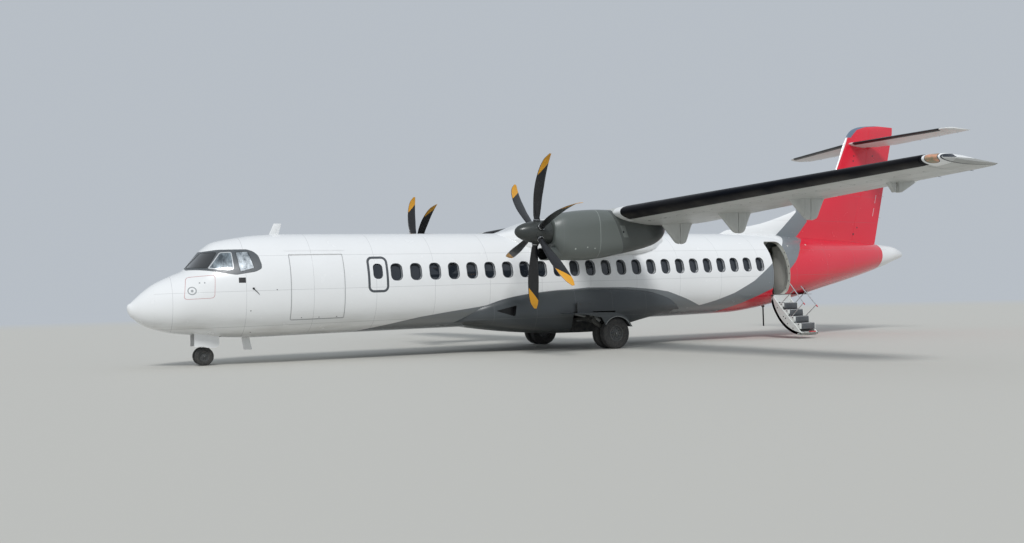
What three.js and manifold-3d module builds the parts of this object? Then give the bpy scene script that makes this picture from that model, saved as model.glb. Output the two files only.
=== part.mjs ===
// Twin turboprop airliner on its gear. Units are mm and +Z is up.
// Stations (x) are measured aft from the nose tip, y is positive to starboard and
// z is the height above the ground. "left" is the port side, at negative y.
import * as THREE from 'three';
import { mergeVertices } from 'three/addons/utils/BufferGeometryUtils.js';
import Module from 'manifold-3d';

const wasm = await Module();
wasm.setup();

// Driving dimensions
const LENGTH = 27170;
const SPAN = 27050;
const HEIGHT = 7650;
const MAIN_TRACK = 4100;
const NOSE_GEAR_X = 1740;
const MAIN_GEAR_X = 12510;
const PROP_SPACING = 8100;
const PROP_RADIUS = 1965;
const PROP_X = 9060;
const PROP_Z = 3100;
const WING_ROOT_CHORD = 2570;
const WING_TIP_CHORD = 1590;
const TAIL_SPAN = 7310;

// Gaps: pieces that touch, panels that only sit in a seam, and moving pieces
const TOUCH = 0.3;
const SEAM = 3;
const RUNNING = 8;

// The fuselage stands nose down by this rise in height for each mm aft
const FLOOR_SLOPE = 0.0135;

const colours = {
  white: [0xe9eaea, 0.35, 0.1],
  swooshGrey: [0x5c615c, 0.4, 0.1],
  red: [0xd83a48, 0.35, 0.1],
  nacelleGrey: [0x5d625c, 0.4, 0.1],
  wingGrey: [0xb9bbb8, 0.45, 0.1],
  black: [0x15171b, 0.6, 0],
  glass: [0x20262c, 0.1, 0.2],
  metal: [0x9a9da0, 0.35, 0.8],
  steel: [0x55585a, 0.4, 0.8],
  rubber: [0x17181a, 0.9, 0],
  stairGrey: [0xd4d6d4, 0.5, 0.1],
};

const group = new THREE.Group();
group.position.x = -LENGTH / 2;

function addNode(name, body, colour) {
  const [hex, roughness, metalness] = colours[colour];
  const material = new THREE.MeshStandardMaterial({ color: hex, roughness, metalness });
  const mesh = new THREE.Mesh(geometryOf(body), material);
  mesh.name = name;
  group.add(mesh);
}

// Solids and meshes

function solidOf(geometry) {
  const bare = geometry.clone();
  for (const name of Object.keys(bare.attributes)) {
    if (name !== 'position') bare.deleteAttribute(name);
  }
  const merged = mergeVertices(bare, 1e-3);
  const kept = [];
  const index = merged.index.array;
  for (let i = 0; i < index.length; i += 3) {
    const [a, b, c] = [index[i], index[i + 1], index[i + 2]];
    if (a !== b && b !== c && c !== a) kept.push(a, b, c);
  }
  return new wasm.Manifold(new wasm.Mesh({
    numProp: 3,
    vertProperties: new Float32Array(merged.attributes.position.array),
    triVerts: new Uint32Array(kept),
  }));
}

function geometryOf(body) {
  const mesh = body.getMesh();
  const geometry = new THREE.BufferGeometry();
  geometry.setAttribute('position', new THREE.BufferAttribute(mesh.vertProperties, 3));
  geometry.setIndex(new THREE.BufferAttribute(mesh.triVerts, 1));
  return geometry;
}

const join = (first, ...rest) => rest.reduce((sum, body) => sum.add(body), first);
const cut = (first, ...rest) => rest.reduce((left, body) => left.subtract(body), first);
const mirror = (body, side) => (side < 0 ? body : body.mirror([0, 1, 0]));

function box(x0, x1, y0, y1, z0, z1) {
  const shape = new THREE.BoxGeometry(x1 - x0, y1 - y0, z1 - z0);
  return solidOf(shape.translate((x0 + x1) / 2, (y0 + y1) / 2, (z0 + z1) / 2));
}

// A round bar from one point to another, with its own radius at each end
function bar(from, to, radius, endRadius = radius, sides = 16) {
  const start = new THREE.Vector3(...from);
  const along = new THREE.Vector3(...to).sub(start);
  const shape = new THREE.CylinderGeometry(endRadius, radius, along.length(), sides);
  shape.translate(0, along.length() / 2, 0);
  const turn = new THREE.Quaternion().setFromUnitVectors(new THREE.Vector3(0, 1, 0), along.normalize());
  return solidOf(shape.applyQuaternion(turn).translate(...from));
}

// A box with its middle at a point, its length along one direction and its depth along another
function turnedBox(centre, along, across, [length, depth, height]) {
  const lengthwise = new THREE.Vector3(...along).normalize();
  const deep = new THREE.Vector3(...across).projectOnPlane(lengthwise).normalize();
  const frame = new THREE.Matrix4().makeBasis(lengthwise, deep, lengthwise.clone().cross(deep));
  const shape = new THREE.BoxGeometry(length, depth, height);
  return solidOf(shape.applyMatrix4(frame.setPosition(...centre)));
}

// A hinge on the line between two points: the fixed part has a lug with a pin through it, and
// the moving part has a slot for the lug and a bore for the pin. The lug reaches forward.
const HINGE_PIN = { radius: 16, length: 120, sides: 12 };
const HINGE_LUG = { thickness: 24, height: 32, sideGap: 6, behind: 23, slotHeight: 500 };

// Radius of a bore of so many sides whose flats just clear the corners of a pin
const boreRadius = (radius, sides) => radius / Math.cos(Math.PI / sides) + TOUCH;

function lineHinge(from, to, share, reach, part) {
  const start = new THREE.Vector3(...from);
  const along = new THREE.Vector3(...to).sub(start);
  const middle = start.clone().addScaledVector(along, share);
  along.normalize();
  const grow = part === 'pocket' ? TOUCH : 0;
  const ends = [-1, 1].map((end) => (
    middle.clone().addScaledVector(along, end * (HINGE_PIN.length / 2 + grow)).toArray()));
  const radius = part === 'pocket' ? boreRadius(HINGE_PIN.radius, HINGE_PIN.sides) : HINGE_PIN.radius;
  const pin = bar(ends[0], ends[1], radius, radius, HINGE_PIN.sides);
  const forward = new THREE.Vector3(-1, 0, 0).projectOnPlane(along).normalize();
  const { thickness, height, sideGap, behind, slotHeight } = HINGE_LUG;
  const block = (back, size) => turnedBox(
    middle.clone().addScaledVector(forward, (reach - back) / 2).toArray(),
    along.toArray(), forward.toArray(), [size[0], reach + back, size[1]]);
  if (part === 'lug') return pin.add(block(0, [thickness, height]));
  return pin.add(block(behind, [thickness + 2 * sideGap, slotHeight]));
}

// A flat outline of [x, z] points, extruded along y
function slabXZ(outline, y0, y1) {
  const shape = new THREE.Shape(outline.map(([x, z]) => new THREE.Vector2(x, z)));
  const plate = new THREE.ExtrudeGeometry(shape, { depth: y1 - y0, bevelEnabled: false });
  return solidOf(plate.rotateX(Math.PI / 2).translate(0, y1, 0));
}

// A flat outline of [x, y] points, extruded up along z
function slabXY(outline, z0, z1) {
  const shape = new THREE.Shape(outline.map(([x, y]) => new THREE.Vector2(x, y)));
  const plate = new THREE.ExtrudeGeometry(shape, { depth: z1 - z0, bevelEnabled: false });
  return solidOf(plate.translate(0, 0, z0));
}

// A flat outline of [y, z] points, extruded along x
function slabYZ(outline, x0, x1) {
  const shape = new THREE.Shape(outline.map(([y, z]) => new THREE.Vector2(y, z)));
  const plate = new THREE.ExtrudeGeometry(shape, { depth: x1 - x0, bevelEnabled: false });
  plate.rotateX(Math.PI / 2).rotateZ(Math.PI / 2);
  return solidOf(plate.translate(x0, 0, 0));
}

// A closed skin through rings of points. A ring of one point closes an end.
function loft(rings) {
  const points = [];
  const triangles = [];
  const starts = rings.map((ring) => {
    points.push(...ring);
    return points.length - ring.length;
  });
  for (let k = 0; k + 1 < rings.length; k += 1) {
    const [count, next] = [rings[k].length, rings[k + 1].length];
    const sides = Math.max(count, next);
    for (let i = 0; i < sides; i += 1) {
      const a = starts[k] + (i % count);
      const b = starts[k] + ((i + 1) % count);
      const c = starts[k + 1] + ((i + 1) % next);
      const d = starts[k + 1] + (i % next);
      if (count > 1) triangles.push(a, b, next > 1 ? c : d);
      if (next > 1) triangles.push(a, c, d);
    }
  }
  const closeEnd = (ring, start, turned) => {
    if (ring.length === 1) return;
    const centre = ring.reduce((sum, p) => sum.map((v, i) => v + p[i] / ring.length), [0, 0, 0]);
    points.push(centre);
    ring.forEach((_, i) => {
      const [a, b] = [start + i, start + ((i + 1) % ring.length)];
      triangles.push(points.length - 1, turned ? a : b, turned ? b : a);
    });
  };
  closeEnd(rings[0], starts[0], false);
  closeEnd(rings.at(-1), starts.at(-1), true);
  const position = (i) => new THREE.Vector3(...points[i]);
  let volume = 0;
  for (let i = 0; i < triangles.length; i += 3) {
    const [a, b, c] = triangles.slice(i, i + 3).map(position);
    volume += a.dot(b.cross(c));
  }
  if (volume < 0) triangles.reverse();
  const geometry = new THREE.BufferGeometry();
  geometry.setAttribute('position', new THREE.Float32BufferAttribute(points.flat(), 3));
  geometry.setIndex(triangles);
  return solidOf(geometry);
}

// A body turned about an axis along x or y, from [along, radius] points
function turned(profile, centre, axis, sides = 24) {
  const rings = profile.map(([along, radius]) => {
    const ring = [];
    for (let i = 0; i < (radius > 0 ? sides : 1); i += 1) {
      const angle = (2 * Math.PI * i) / sides;
      const [p, q] = [radius * Math.sin(angle), -radius * Math.cos(angle)];
      const spot = axis === 'x' ? [along, p, q] : [p, along, q];
      ring.push(spot.map((v, k) => v + centre[k]));
    }
    return ring;
  });
  return loft(rings);
}

// Smooth curves through the rows of a table, whose first column is the station
function curveThrough(table) {
  const slope = (k, column) => {
    const [a, b, c] = [table[Math.max(k - 1, 0)], table[k], table[Math.min(k + 1, table.length - 1)]];
    const before = b === a ? null : (b[column] - a[column]) / (b[0] - a[0]);
    const after = c === b ? null : (c[column] - b[column]) / (c[0] - b[0]);
    if (before === null || after === null) return before ?? after;
    return before * after <= 0 ? 0 : (2 * before * after) / (before + after);
  };
  return (x) => {
    let k = table.findIndex((row) => row[0] >= x);
    k = k < 1 ? (k === 0 ? 0 : table.length - 2) : k - 1;
    const [low, high] = [table[k], table[k + 1]];
    const width = high[0] - low[0];
    const t = (x - low[0]) / width;
    return low.slice(1).map((value, i) => {
      const [m0, m1] = [slope(k, i + 1) * width, slope(k + 1, i + 1) * width];
      return (2 * t ** 3 - 3 * t * t + 1) * value + (t ** 3 - 2 * t * t + t) * m0
        + (3 * t * t - 2 * t ** 3) * high[i + 1] + (t ** 3 - t * t) * m1;
    });
  };
}

// Fuselage. Columns: station, top, bottom, half width, waist height, lower fullness
const fuselageTable = [
  [80, 1580, 1250, 170, 1420, 2.0],
  [300, 1800, 1070, 400, 1430, 2.0],
  [570, 2015, 935, 610, 1455, 2.0],
  [990, 2230, 820, 850, 1520, 2.1],
  [1250, 2345, 785, 965, 1580, 2.1],
  [1710, 2880, 735, 1120, 1680, 2.2],
  [1980, 3060, 700, 1200, 1730, 2.3],
  [2480, 3170, 665, 1310, 1790, 2.4],
  [2990, 3245, 650, 1380, 1830, 2.5],
  [3690, 3290, 660, 1425, 1865, 2.6],
  [4600, 3308, 673, 1432, 1878, 2.6],
  [18200, 3492, 860, 1432, 2062, 2.6],
  [19200, 3500, 960, 1430, 2085, 2.6],
  [20590, 3475, 1200, 1395, 2140, 2.5],
  [22610, 3370, 1610, 1110, 2370, 2.3],
  [24450, 3285, 1990, 760, 2590, 2.1],
  [26000, 3165, 2380, 410, 2760, 2.0],
  [26630, 3100, 2580, 270, 2830, 2.0],
  [27030, 2960, 2690, 130, 2820, 2.0],
];
const NOSE_TIP_Z = 1470;
const TAIL_TIP_Z = 2800;
const RADOME_END = 570;
const TAIL_CONE_START = 25900;
const FUSELAGE_SIDES = 28;
const fuselageAt = curveThrough(fuselageTable);

function fuselageRing(x, grow) {
  const [top, bottom, halfWidth, waist, fullness] = fuselageAt(x);
  const ring = [];
  for (let i = 0; i < FUSELAGE_SIDES; i += 1) {
    const angle = (2 * Math.PI * i) / FUSELAGE_SIDES;
    const [up, side] = [Math.cos(angle), Math.sin(angle)];
    const power = up >= 0 ? 1 : 2 / fullness;
    const rise = up >= 0 ? top - waist : waist - bottom;
    const y = (halfWidth + grow) * Math.sign(side) * Math.abs(side) ** power;
    const z = waist + (rise + grow) * Math.sign(up) * Math.abs(up) ** power;
    ring.push([x, y, z]);
  }
  return ring;
}

// The fuselage skin between two stations, moved out by grow
function fuselageBody(from, to, grow = 0) {
  const between = fuselageTable.map((row) => row[0]).filter((x) => x > from && x < to);
  const stations = [from, ...between, to];
  const steps = stations.flatMap((x, i) => {
    const gap = (stations[i + 1] ?? x) - x;
    return gap > 350 && gap < 1000 ? [x, x + gap / 2] : [x];
  });
  return steps.map((x) => fuselageRing(x, grow));
}

const fuselageHull = (grow = 0) => loft(fuselageBody(RADOME_END, TAIL_CONE_START, grow));

// The outer layer of the fuselage, this thick, for panels and doors
function skinLayer(thickness, grow = 0) {
  return fuselageHull(grow).subtract(fuselageHull(-thickness));
}

// An outline in x and z for one side, whose upper and lower edges follow the floor's slope
function slopedPanel(x0, x1, z0, z1, y0, y1, inset = 0) {
  const rise = (x1 - x0) * FLOOR_SLOPE;
  return slabXZ([
    [x0 + inset, z0 + inset], [x1 - inset, z0 + rise + inset],
    [x1 - inset, z1 + rise - inset], [x0 + inset, z1 - inset],
  ], y0, y1);
}

// Wing. The plan is straight to the dihedral break, then tapers to the tip.
// Columns: half span, leading edge x, leading edge z, chord, trailing edge z, thickness
const WING_BREAK = 4950;
const WING_LEADING_X = 11120;
const WING_SWEEP = 0.0525;
const wingTipLead = WING_LEADING_X + (SPAN / 2 - WING_BREAK) * WING_SWEEP;
const wingTable = [
  [0, WING_LEADING_X, 3590, WING_ROOT_CHORD, 3360, 440],
  [WING_BREAK, WING_LEADING_X, 3590, WING_ROOT_CHORD, 3360, 440],
  [9300, WING_LEADING_X + (9300 - WING_BREAK) * WING_SWEEP, 3625, 2073, 3480, 330],
  [13050, wingTipLead - 25, 3660, WING_TIP_CHORD + 50, 3575, 235],
  [13400, wingTipLead + 60, 3662, WING_TIP_CHORD - 90, 3585, 170],
  [SPAN / 2, wingTipLead + 330, 3650, WING_TIP_CHORD - 420, 3600, 40],
];

// Aerofoil points as [fraction of chord, fraction of half thickness] from the trailing edge,
// over the top to the leading edge and back along the underside
const aerofoilPoints = [
  [1, 0.02], [0.85, 0.36], [0.7, 0.66], [0.5, 0.96], [0.35, 1.1], [0.2, 1.04], [0.1, 0.84],
  [0.04, 0.58], [0.01, 0.3], [0, 0], [0.01, -0.28], [0.04, -0.5], [0.1, -0.7], [0.2, -0.86],
  [0.35, -0.9], [0.5, -0.8], [0.7, -0.52], [0.85, -0.27], [1, -0.02],
];

function wingRing([halfSpan, leadX, leadZ, chord, trailZ, thickness], side, grow = 0) {
  return aerofoilPoints.map(([along, across]) => {
    const stretch = along - grow / chord + (2 * grow * along) / chord;
    const z = leadZ + (trailZ - leadZ) * along + (across * thickness) / 2 + grow * Math.sign(across);
    return [leadX + stretch * chord, side * halfSpan, z];
  });
}

function wingBody(grow = 0) {
  const port = [...wingTable].reverse().map((row) => wingRing(row, -1, grow));
  const starboard = wingTable.slice(1).map((row) => wingRing(row, 1, grow));
  return loft([...port, ...starboard]);
}

// Height of the wing's mean line above the ground at a half span and a station
const wingCurve = curveThrough(wingTable);
function wingMeanZ(halfSpan, x) {
  const [leadX, leadZ, chord, trailZ] = wingCurve(halfSpan);
  return leadZ + ((trailZ - leadZ) * (x - leadX)) / chord;
}

// Flaps and ailerons. The hinge line runs straight to the break, then sweeps forward.
const HINGE_X = 13000;
const HINGE_FORWARD = 0.028;
const HINGE_BEND = 4450;
const hingeX = (halfSpan) => HINGE_X - Math.max(0, halfSpan - HINGE_BEND) * HINGE_FORWARD;
const flapHingeZ = (halfSpan) => 2860 + Math.max(0, halfSpan - HINGE_BEND) * 0.042;
const INNER_FLAP = { from: 1500, to: 4440 };
const OUTER_FLAP = { from: 4480, to: 9630 };
const AILERON = { from: 9680, to: 13100, noseRadius: [98, 62] };
const SURFACE_GAP = 12;

// Block behind the hinge line between two half spans, on the port side
function behindHinge(from, to, forward, sideGrow = 0) {
  const [a, b] = [from - sideGrow, to + sideGrow];
  const line = [b, HINGE_BEND, a].filter((halfSpan) => halfSpan >= a && halfSpan <= b);
  return slabXY([
    [15000, -a], [15000, -b], ...line.map((halfSpan) => [hingeX(halfSpan) - forward, -halfSpan]),
  ], 2500, 4200);
}

// Drop-hinge fairing under the wing in two halves, split at the hinge.
// Columns: half span, bottom height, and whether the inner or outer flap carries the back half
const hingeFairings = [
  [2100, 2790, 'inner'],
  [4650, 2790, 'outer'],
  [6950, 2890, 'outer'],
  [9300, 2990, 'outer'],
];
const FAIRING_HALF_WIDTH = 80;
const FLAP_KNUCKLE = { radius: 18, halfLength: 45, sides: 12 };

// The knuckle of a flap hinge, on the hinge line through its fairing, or the bore for it
function flapKnuckle([halfSpan], part) {
  const { halfLength, sides } = FLAP_KNUCKLE;
  const grow = part === 'pocket' ? TOUCH : 0;
  const radius = part === 'pocket' ? boreRadius(FLAP_KNUCKLE.radius, sides) : FLAP_KNUCKLE.radius;
  const at = (offset) => [hingeX(halfSpan + offset), -halfSpan - offset, flapHingeZ(halfSpan + offset)];
  return bar(at(-halfLength - grow), at(halfLength + grow), radius, radius, sides);
}

function fairingFront([halfSpan, bottom]) {
  const x = hingeX(halfSpan);
  const top = wingMeanZ(halfSpan, x - 350);
  return slabXZ([
    [x - 640, top - 60], [x - 80, bottom + 15], [x - RUNNING, bottom], [x - RUNNING, top],
  ], -halfSpan - FAIRING_HALF_WIDTH, -halfSpan + FAIRING_HALF_WIDTH);
}

function fairingBack([halfSpan, bottom]) {
  const x = hingeX(halfSpan);
  const top = wingMeanZ(halfSpan, x);
  const rear = wingMeanZ(halfSpan, x + 480);
  return slabXZ([
    [x + RUNNING, bottom + 75], [x + 80, bottom], [x + 190, bottom + 25],
    [x + 420, rear - 75], [x + 480, rear], [x + RUNNING, top],
  ], -halfSpan - FAIRING_HALF_WIDTH, -halfSpan + FAIRING_HALF_WIDTH);
}

// The small fairing at the aileron's hinge: its back part moves with the aileron
const AILERON_FAIRING = { halfSpan: 11600, bottom: 3310, halfWidth: 50, gap: 45 };
function aileronFairing(back) {
  const { halfSpan, bottom, halfWidth, gap } = AILERON_FAIRING;
  const x = hingeX(halfSpan);
  const top = wingMeanZ(halfSpan, x);
  const front = [[x - 230, top - 60], [x - 60, bottom], [x - gap, bottom], [x - gap, top]];
  const rear = [[x + gap, bottom], [x + 120, bottom], [x + 600, top - 10], [x + gap, top]];
  return slabXZ(back ? rear : front, -halfSpan - halfWidth, -halfSpan + halfWidth);
}

const wingWhole = wingBody();

// The aileron's hinge line is straight between two points
function aileronHingePoint(halfSpan) {
  const x = hingeX(halfSpan);
  return [x, -halfSpan, wingMeanZ(halfSpan, x) + 8];
}
const aileronEnds = [AILERON.from, AILERON.to + 500].map(aileronHingePoint);
const aileronNose = (grow) => bar(
  aileronHingePoint(AILERON.from - grow), aileronEnds[1],
  AILERON.noseRadius[0] + grow, AILERON.noseRadius[1] + grow, 14);
const aileronHinges = (part) => [[0.12, 150], [0.72, 110]].map(([share, reach]) => (
  lineHinge(aileronEnds[0], aileronEnds[1], share, reach, part)));

function aileronRegion(grow) {
  const { from, to } = AILERON;
  const span = slabXY([[10000, -from + grow], [15000, -from + grow], [15000, -13600], [10000, -13600]],
    2500, 4200);
  const horn = slabXY([[10000, -to + grow], [15000, -to + grow], [15000, -13600], [10000, -13600]],
    2500, 4200);
  return join(join(behindHinge(from, 13600, grow, grow), aileronNose(grow)).intersect(span), horn);
}

function makeWing() {
  const cuts = [
    behindHinge(INNER_FLAP.from, AILERON.from, RUNNING, SURFACE_GAP),
    aileronRegion(SURFACE_GAP),
  ];
  const fairings = [...hingeFairings.map(fairingFront), aileronFairing(false)];
  const hinges = [...hingeFairings.map((row) => flapKnuckle(row, 'lug')), ...aileronHinges('lug')];
  let wing = wingWhole;
  for (const side of [-1, 1]) {
    wing = join(wing, ...fairings.map((body) => mirror(body, side)));
    wing = cut(wing, ...cuts.map((body) => mirror(body, side)));
    wing = join(wing, ...hinges.map((body) => mirror(body, side)));
  }
  return wing;
}

function makeFlap(flap, kind) {
  const panel = wingWhole.intersect(behindHinge(flap.from, flap.to, 0));
  const carried = hingeFairings.filter((row) => row[2] === kind);
  return cut(join(panel, ...carried.map(fairingBack)), ...carried.map((row) => flapKnuckle(row, 'pocket')));
}

function makeAileron() {
  const surface = wingWhole.intersect(aileronRegion(0)).add(aileronFairing(true));
  return cut(surface, ...aileronHinges('pocket'));
}

// Fin and rudder. Columns: height, leading edge x, trailing edge x, thickness
const finTrail = (z) => 25730 + (z - 3220) * 0.278;
const finTable = [
  [3000, 18200, 330],
  [3490, 18310, 320],
  [3870, 20140, 310],
  [4420, 21930, 300],
  [4800, 22750, 295],
  [5250, 23350, 290],
  [5810, 23780, 280],
  [7180, 24470, 225],
  [7430, 24750, 200],
  [7570, 25200, 120],
  [HEIGHT, 25900, 24],
].map(([z, lead, thickness]) => [z, lead, finTrail(Math.min(z, 7480)), thickness]);
const RUDDER = { bottomFront: 3305, bottomBack: 3180, noseRadius: [128, 114] };
const rudderHingeX = (z) => 24610 + (z - 3280) * 0.235;

const finSection = [
  [1, 0], [0.8, 0.4], [0.55, 0.85], [0.35, 1], [0.18, 0.86], [0.07, 0.58], [0.015, 0.28], [0, 0],
  [0.015, -0.28], [0.07, -0.58], [0.18, -0.86], [0.35, -1], [0.55, -0.85], [0.8, -0.4],
];

function finWhole() {
  return loft(finTable.map(([z, lead, trail, thickness]) => finSection.map(([along, across]) => (
    [lead + along * (trail - lead), (across * thickness) / 2, z]))));
}

// Everything behind the rudder's hinge line, with its round nose
function rudderRegion(grow) {
  const [low, high] = [2900, HEIGHT + 100];
  const behind = slabXZ([
    [rudderHingeX(low) - grow, low], [28000, low], [28000, high], [rudderHingeX(high) - grow, high],
  ], -400, 400);
  const [lower, upper] = RUDDER.noseRadius;
  const nose = bar([rudderHingeX(low), 0, low], [rudderHingeX(high), 0, high], lower + grow, upper + grow, 14);
  return behind.add(nose);
}

const rudderHinges = (part) => [[0.13, 160], [0.5, 150], [0.9, 130]].map(([share, reach]) => {
  const [low, high] = [3500, 6700];
  return lineHinge([rudderHingeX(low), 0, low], [rudderHingeX(high), 0, high], share, reach, part);
});

// The rudder's lower edge runs just above the tail's top line
function aboveTail() {
  const { bottomFront, bottomBack } = RUDDER;
  return slabXZ([
    [24300, bottomFront], [26000, bottomBack], [28000, bottomBack], [28000, 8000], [24300, 8000],
  ], -400, 400);
}

// Tailplane and elevators. Columns: half span, leading edge x, chord, thickness
const TAIL_Z = 6880;
const TAIL_TRAIL_X = 26390;
const ELEVATOR_HINGE_X = 25780;
const tailTable = [
  [0, 24480, 210],
  [3300, 25130, 150],
  [3560, 25230, 115],
  [TAIL_SPAN / 2, 25520, 24],
].map(([halfSpan, lead, thickness]) => [halfSpan, lead, TAIL_TRAIL_X - lead, thickness]);
const ELEVATOR = { from: 330, hornFrom: 3320, noseRadius: [78, 60] };
// The rudder swings through this wedge behind the fin, so nothing else stands in it
// Columns: station, half width
const rudderSwingTable = [[25285, 190], [25900, 320], [27500, 1140]];

function tailWhole(grow = 0) {
  const ring = ([halfSpan, lead, chord, thickness], side) => finSection.map(([along, across]) => [
    lead - grow + along * (chord + 2 * grow),
    side * halfSpan,
    TAIL_Z + (across * thickness) / 2 + grow * Math.sign(across),
  ]);
  const port = [...tailTable].reverse().map((row) => ring(row, -1));
  return loft([...port, ...tailTable.slice(1).map((row) => ring(row, 1))]);
}

function rudderSwing() {
  const port = rudderSwingTable.map(([x, halfWidth]) => [x, -halfWidth]);
  const starboard = [...rudderSwingTable].reverse();
  return slabXY([...port, ...starboard], TAIL_Z - 400, TAIL_Z + 400);
}

function elevatorRegion(grow) {
  const { from, hornFrom, noseRadius } = ELEVATOR;
  const [x, far] = [ELEVATOR_HINGE_X, TAIL_SPAN / 2 + 100];
  const behind = box(x - grow, 27500, -far, -from + grow, TAIL_Z - 400, TAIL_Z + 400);
  const nose = bar([x, -from + grow, TAIL_Z], [x, -far, TAIL_Z], noseRadius[0] + grow, noseRadius[1] + grow, 12);
  const horn = box(24000, 27500, -far, -hornFrom + grow, TAIL_Z - 400, TAIL_Z + 400);
  return join(behind, nose, horn);
}

const elevatorHinges = (part) => [[0.25, 120], [0.8, 110]].map(([share, reach]) => (
  lineHinge([ELEVATOR_HINGE_X, -400, TAIL_Z], [ELEVATOR_HINGE_X, -3300, TAIL_Z], share, reach, part)));

// Belly fairing between the main wheels. Columns: station, side height, bottom, half width
const bellyTable = [
  [8400, 1180, 780, 1150],
  [9000, 1390, 690, 1400],
  [9700, 1540, 590, 1530],
  [10600, 1650, 490, 1600],
  [11500, 1710, 440, 1630],
  [12500, 1720, 430, 1630],
  [13300, 1700, 530, 1610],
  [14250, 1640, 720, 1530],
  [15000, 1520, 850, 1400],
  [15600, 1380, 915, 1150],
];

function bellyWhole() {
  const ring = ([x, side, bottom, halfWidth]) => {
    const low = bottom + (side - bottom) * 0.38;
    const half = [
      [0, bottom], [0.45, bottom + 8], [0.7, bottom + 45], [0.88, bottom + 120],
      [0.97, low - 60], [1, low + 80], [0.985, (low + side) / 2 + 60], [0.93, side - 40], [0.86, side],
    ].map(([across, z]) => [x, across * halfWidth, z]);
    const other = half.slice(1).reverse().map(([, y, z]) => [x, -y, z]);
    return [...half, ...other];
  };
  return loft(bellyTable.map(ring));
}

// Wing-to-body fairing on top. Columns: station, top, half width, edge height
const saddleTable = [
  [9750, 3360, 500, 3150],
  [10200, 3480, 900, 2960],
  [10700, 3660, 1220, 2780],
  [11150, 3790, 1370, 2700],
  [11800, 3850, 1425, 2670],
  [12900, 3830, 1430, 2670],
  [13800, 3720, 1400, 2690],
  [14600, 3600, 1250, 2780],
  [15300, 3520, 900, 2980],
];

function saddleWhole() {
  const ring = ([x, top, halfWidth, edge]) => {
    const half = [
      [0, top], [0.4, top - 8], [0.7, top - 45], [0.88, top - 130], [0.97, top - 270],
      [1, (top + edge) / 2 - 60], [0.99, edge + 0.14 * (top - edge)],
      [0.95, edge + 0.05 * (top - edge)], [0.86, edge],
    ].map(([across, z]) => [x, across * halfWidth, z]);
    const other = half.slice(1).reverse().map(([, y, z]) => [x, -y, z]);
    return [...half, ...other];
  };
  return loft(saddleTable.map(ring));
}

// Nacelle. Columns: station, top, bottom, half width
const nacelleTable = [
  [9420, 3430, 2700, 335],
  [9560, 3515, 2470, 415],
  [9760, 3585, 2415, 460],
  [10300, 3665, 2395, 482],
  [10830, 3695, 2445, 485],
  [11330, 3685, 2530, 475],
  [11900, 3590, 2640, 440],
  [12480, 3440, 2790, 340],
  [12750, 3370, 2945, 260],
  [12920, 3310, 3110, 120],
];
const NACELLE_SIDES = 20;
const INTAKE = { front: 9250, back: 9900, bottom: 2405, top: 2720, halfWidth: 300, depth: 330, lip: 30 };
const ENGINE = { length: 2134, width: 679, height: 838, front: 9640, bottom: 2475, cowlWall: 15 };
const SHAFT_RADIUS = 80;
const HUB = { front: 8860, back: 9390, radius: 130 };
const SPINNER_TIP_X = 8470;
const SPINNER_BACK_X = 9380;
const SPINNER_RADIUS = 300;

function nacelleShell(y, inset = 0) {
  const ring = ([x, top, bottom, wide]) => {
    const halfWidth = wide - inset;
    const halfHeight = (top - bottom) / 2 - inset;
    const points = [];
    for (let i = 0; i < NACELLE_SIDES; i += 1) {
      const angle = (2 * Math.PI * i) / NACELLE_SIDES;
      const power = 0.7;
      const up = Math.sign(Math.cos(angle)) * Math.abs(Math.cos(angle)) ** power;
      const out = Math.sign(Math.sin(angle)) * Math.abs(Math.sin(angle)) ** power;
      points.push([x, y + out * halfWidth, (top + bottom) / 2 + up * halfHeight]);
    }
    return points;
  };
  return loft(nacelleTable.map(ring));
}

// The engine as a plain block, trimmed where the cowl comes close to its corners
function engineBlock(y, grow = 0) {
  const { front, length, width, height, bottom, cowlWall } = ENGINE;
  const block = box(front - grow, front + length + grow, y - width / 2 - grow, y + width / 2 + grow,
    bottom - grow, bottom + height + grow);
  return block.intersect(nacelleShell(y, cowlWall - grow));
}

function makeNacelle(side) {
  const y = (side * PROP_SPACING) / 2;
  const { front, back, bottom, top, halfWidth, depth, lip } = INTAKE;
  const mouth = (inset) => slabYZ([
    [y - halfWidth + inset, top - inset], [y - halfWidth + inset, bottom + 110 - inset / 2],
    [y - halfWidth + 110, bottom + inset], [y + halfWidth - 110, bottom + inset],
    [y + halfWidth - inset, bottom + 110 - inset / 2], [y + halfWidth - inset, top - inset],
  ], inset ? front - 10 : front, inset ? front + depth : back);
  const room = engineBlock(y, TOUCH);
  const shaftWay = bar([9400, y, PROP_Z], [ENGINE.front + 10, y, PROP_Z], SHAFT_RADIUS + RUNNING);
  return cut(nacelleShell(y).add(mouth(0)), mouth(lip), room, shaftWay, wingBody(TOUCH));
}

function makeEngine(side) {
  const y = (side * PROP_SPACING) / 2;
  return engineBlock(y).add(
    bar([HUB.back + TOUCH, y, PROP_Z], [ENGINE.front + 20, y, PROP_Z], SHAFT_RADIUS));
}

// Propeller blade. Columns: radius, chord, thickness, angle from the propeller's plane in
// degrees, sweep aft, sweep against the turn
const bladeTable = [
  [110, 120, 120, 95, 0, 0],
  [260, 125, 120, 95, 0, 0],
  [420, 185, 70, 93, -10, 0],
  [800, 250, 38, 88, -10, 0],
  [1200, 290, 26, 83, 15, 15],
  [1550, 265, 19, 79, 62, 50],
  [1800, 200, 13, 76, 122, 95],
  [PROP_RADIUS - 12, 70, 8, 74, 190, 145],
];
const BLADES = 6;
const bladeSection = [
  [0.5, 0], [0.33, 0.37], [0.02, 0.5], [-0.34, 0.4], [-0.5, 0], [-0.34, -0.4], [0.02, -0.5],
  [0.33, -0.37],
];

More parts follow.
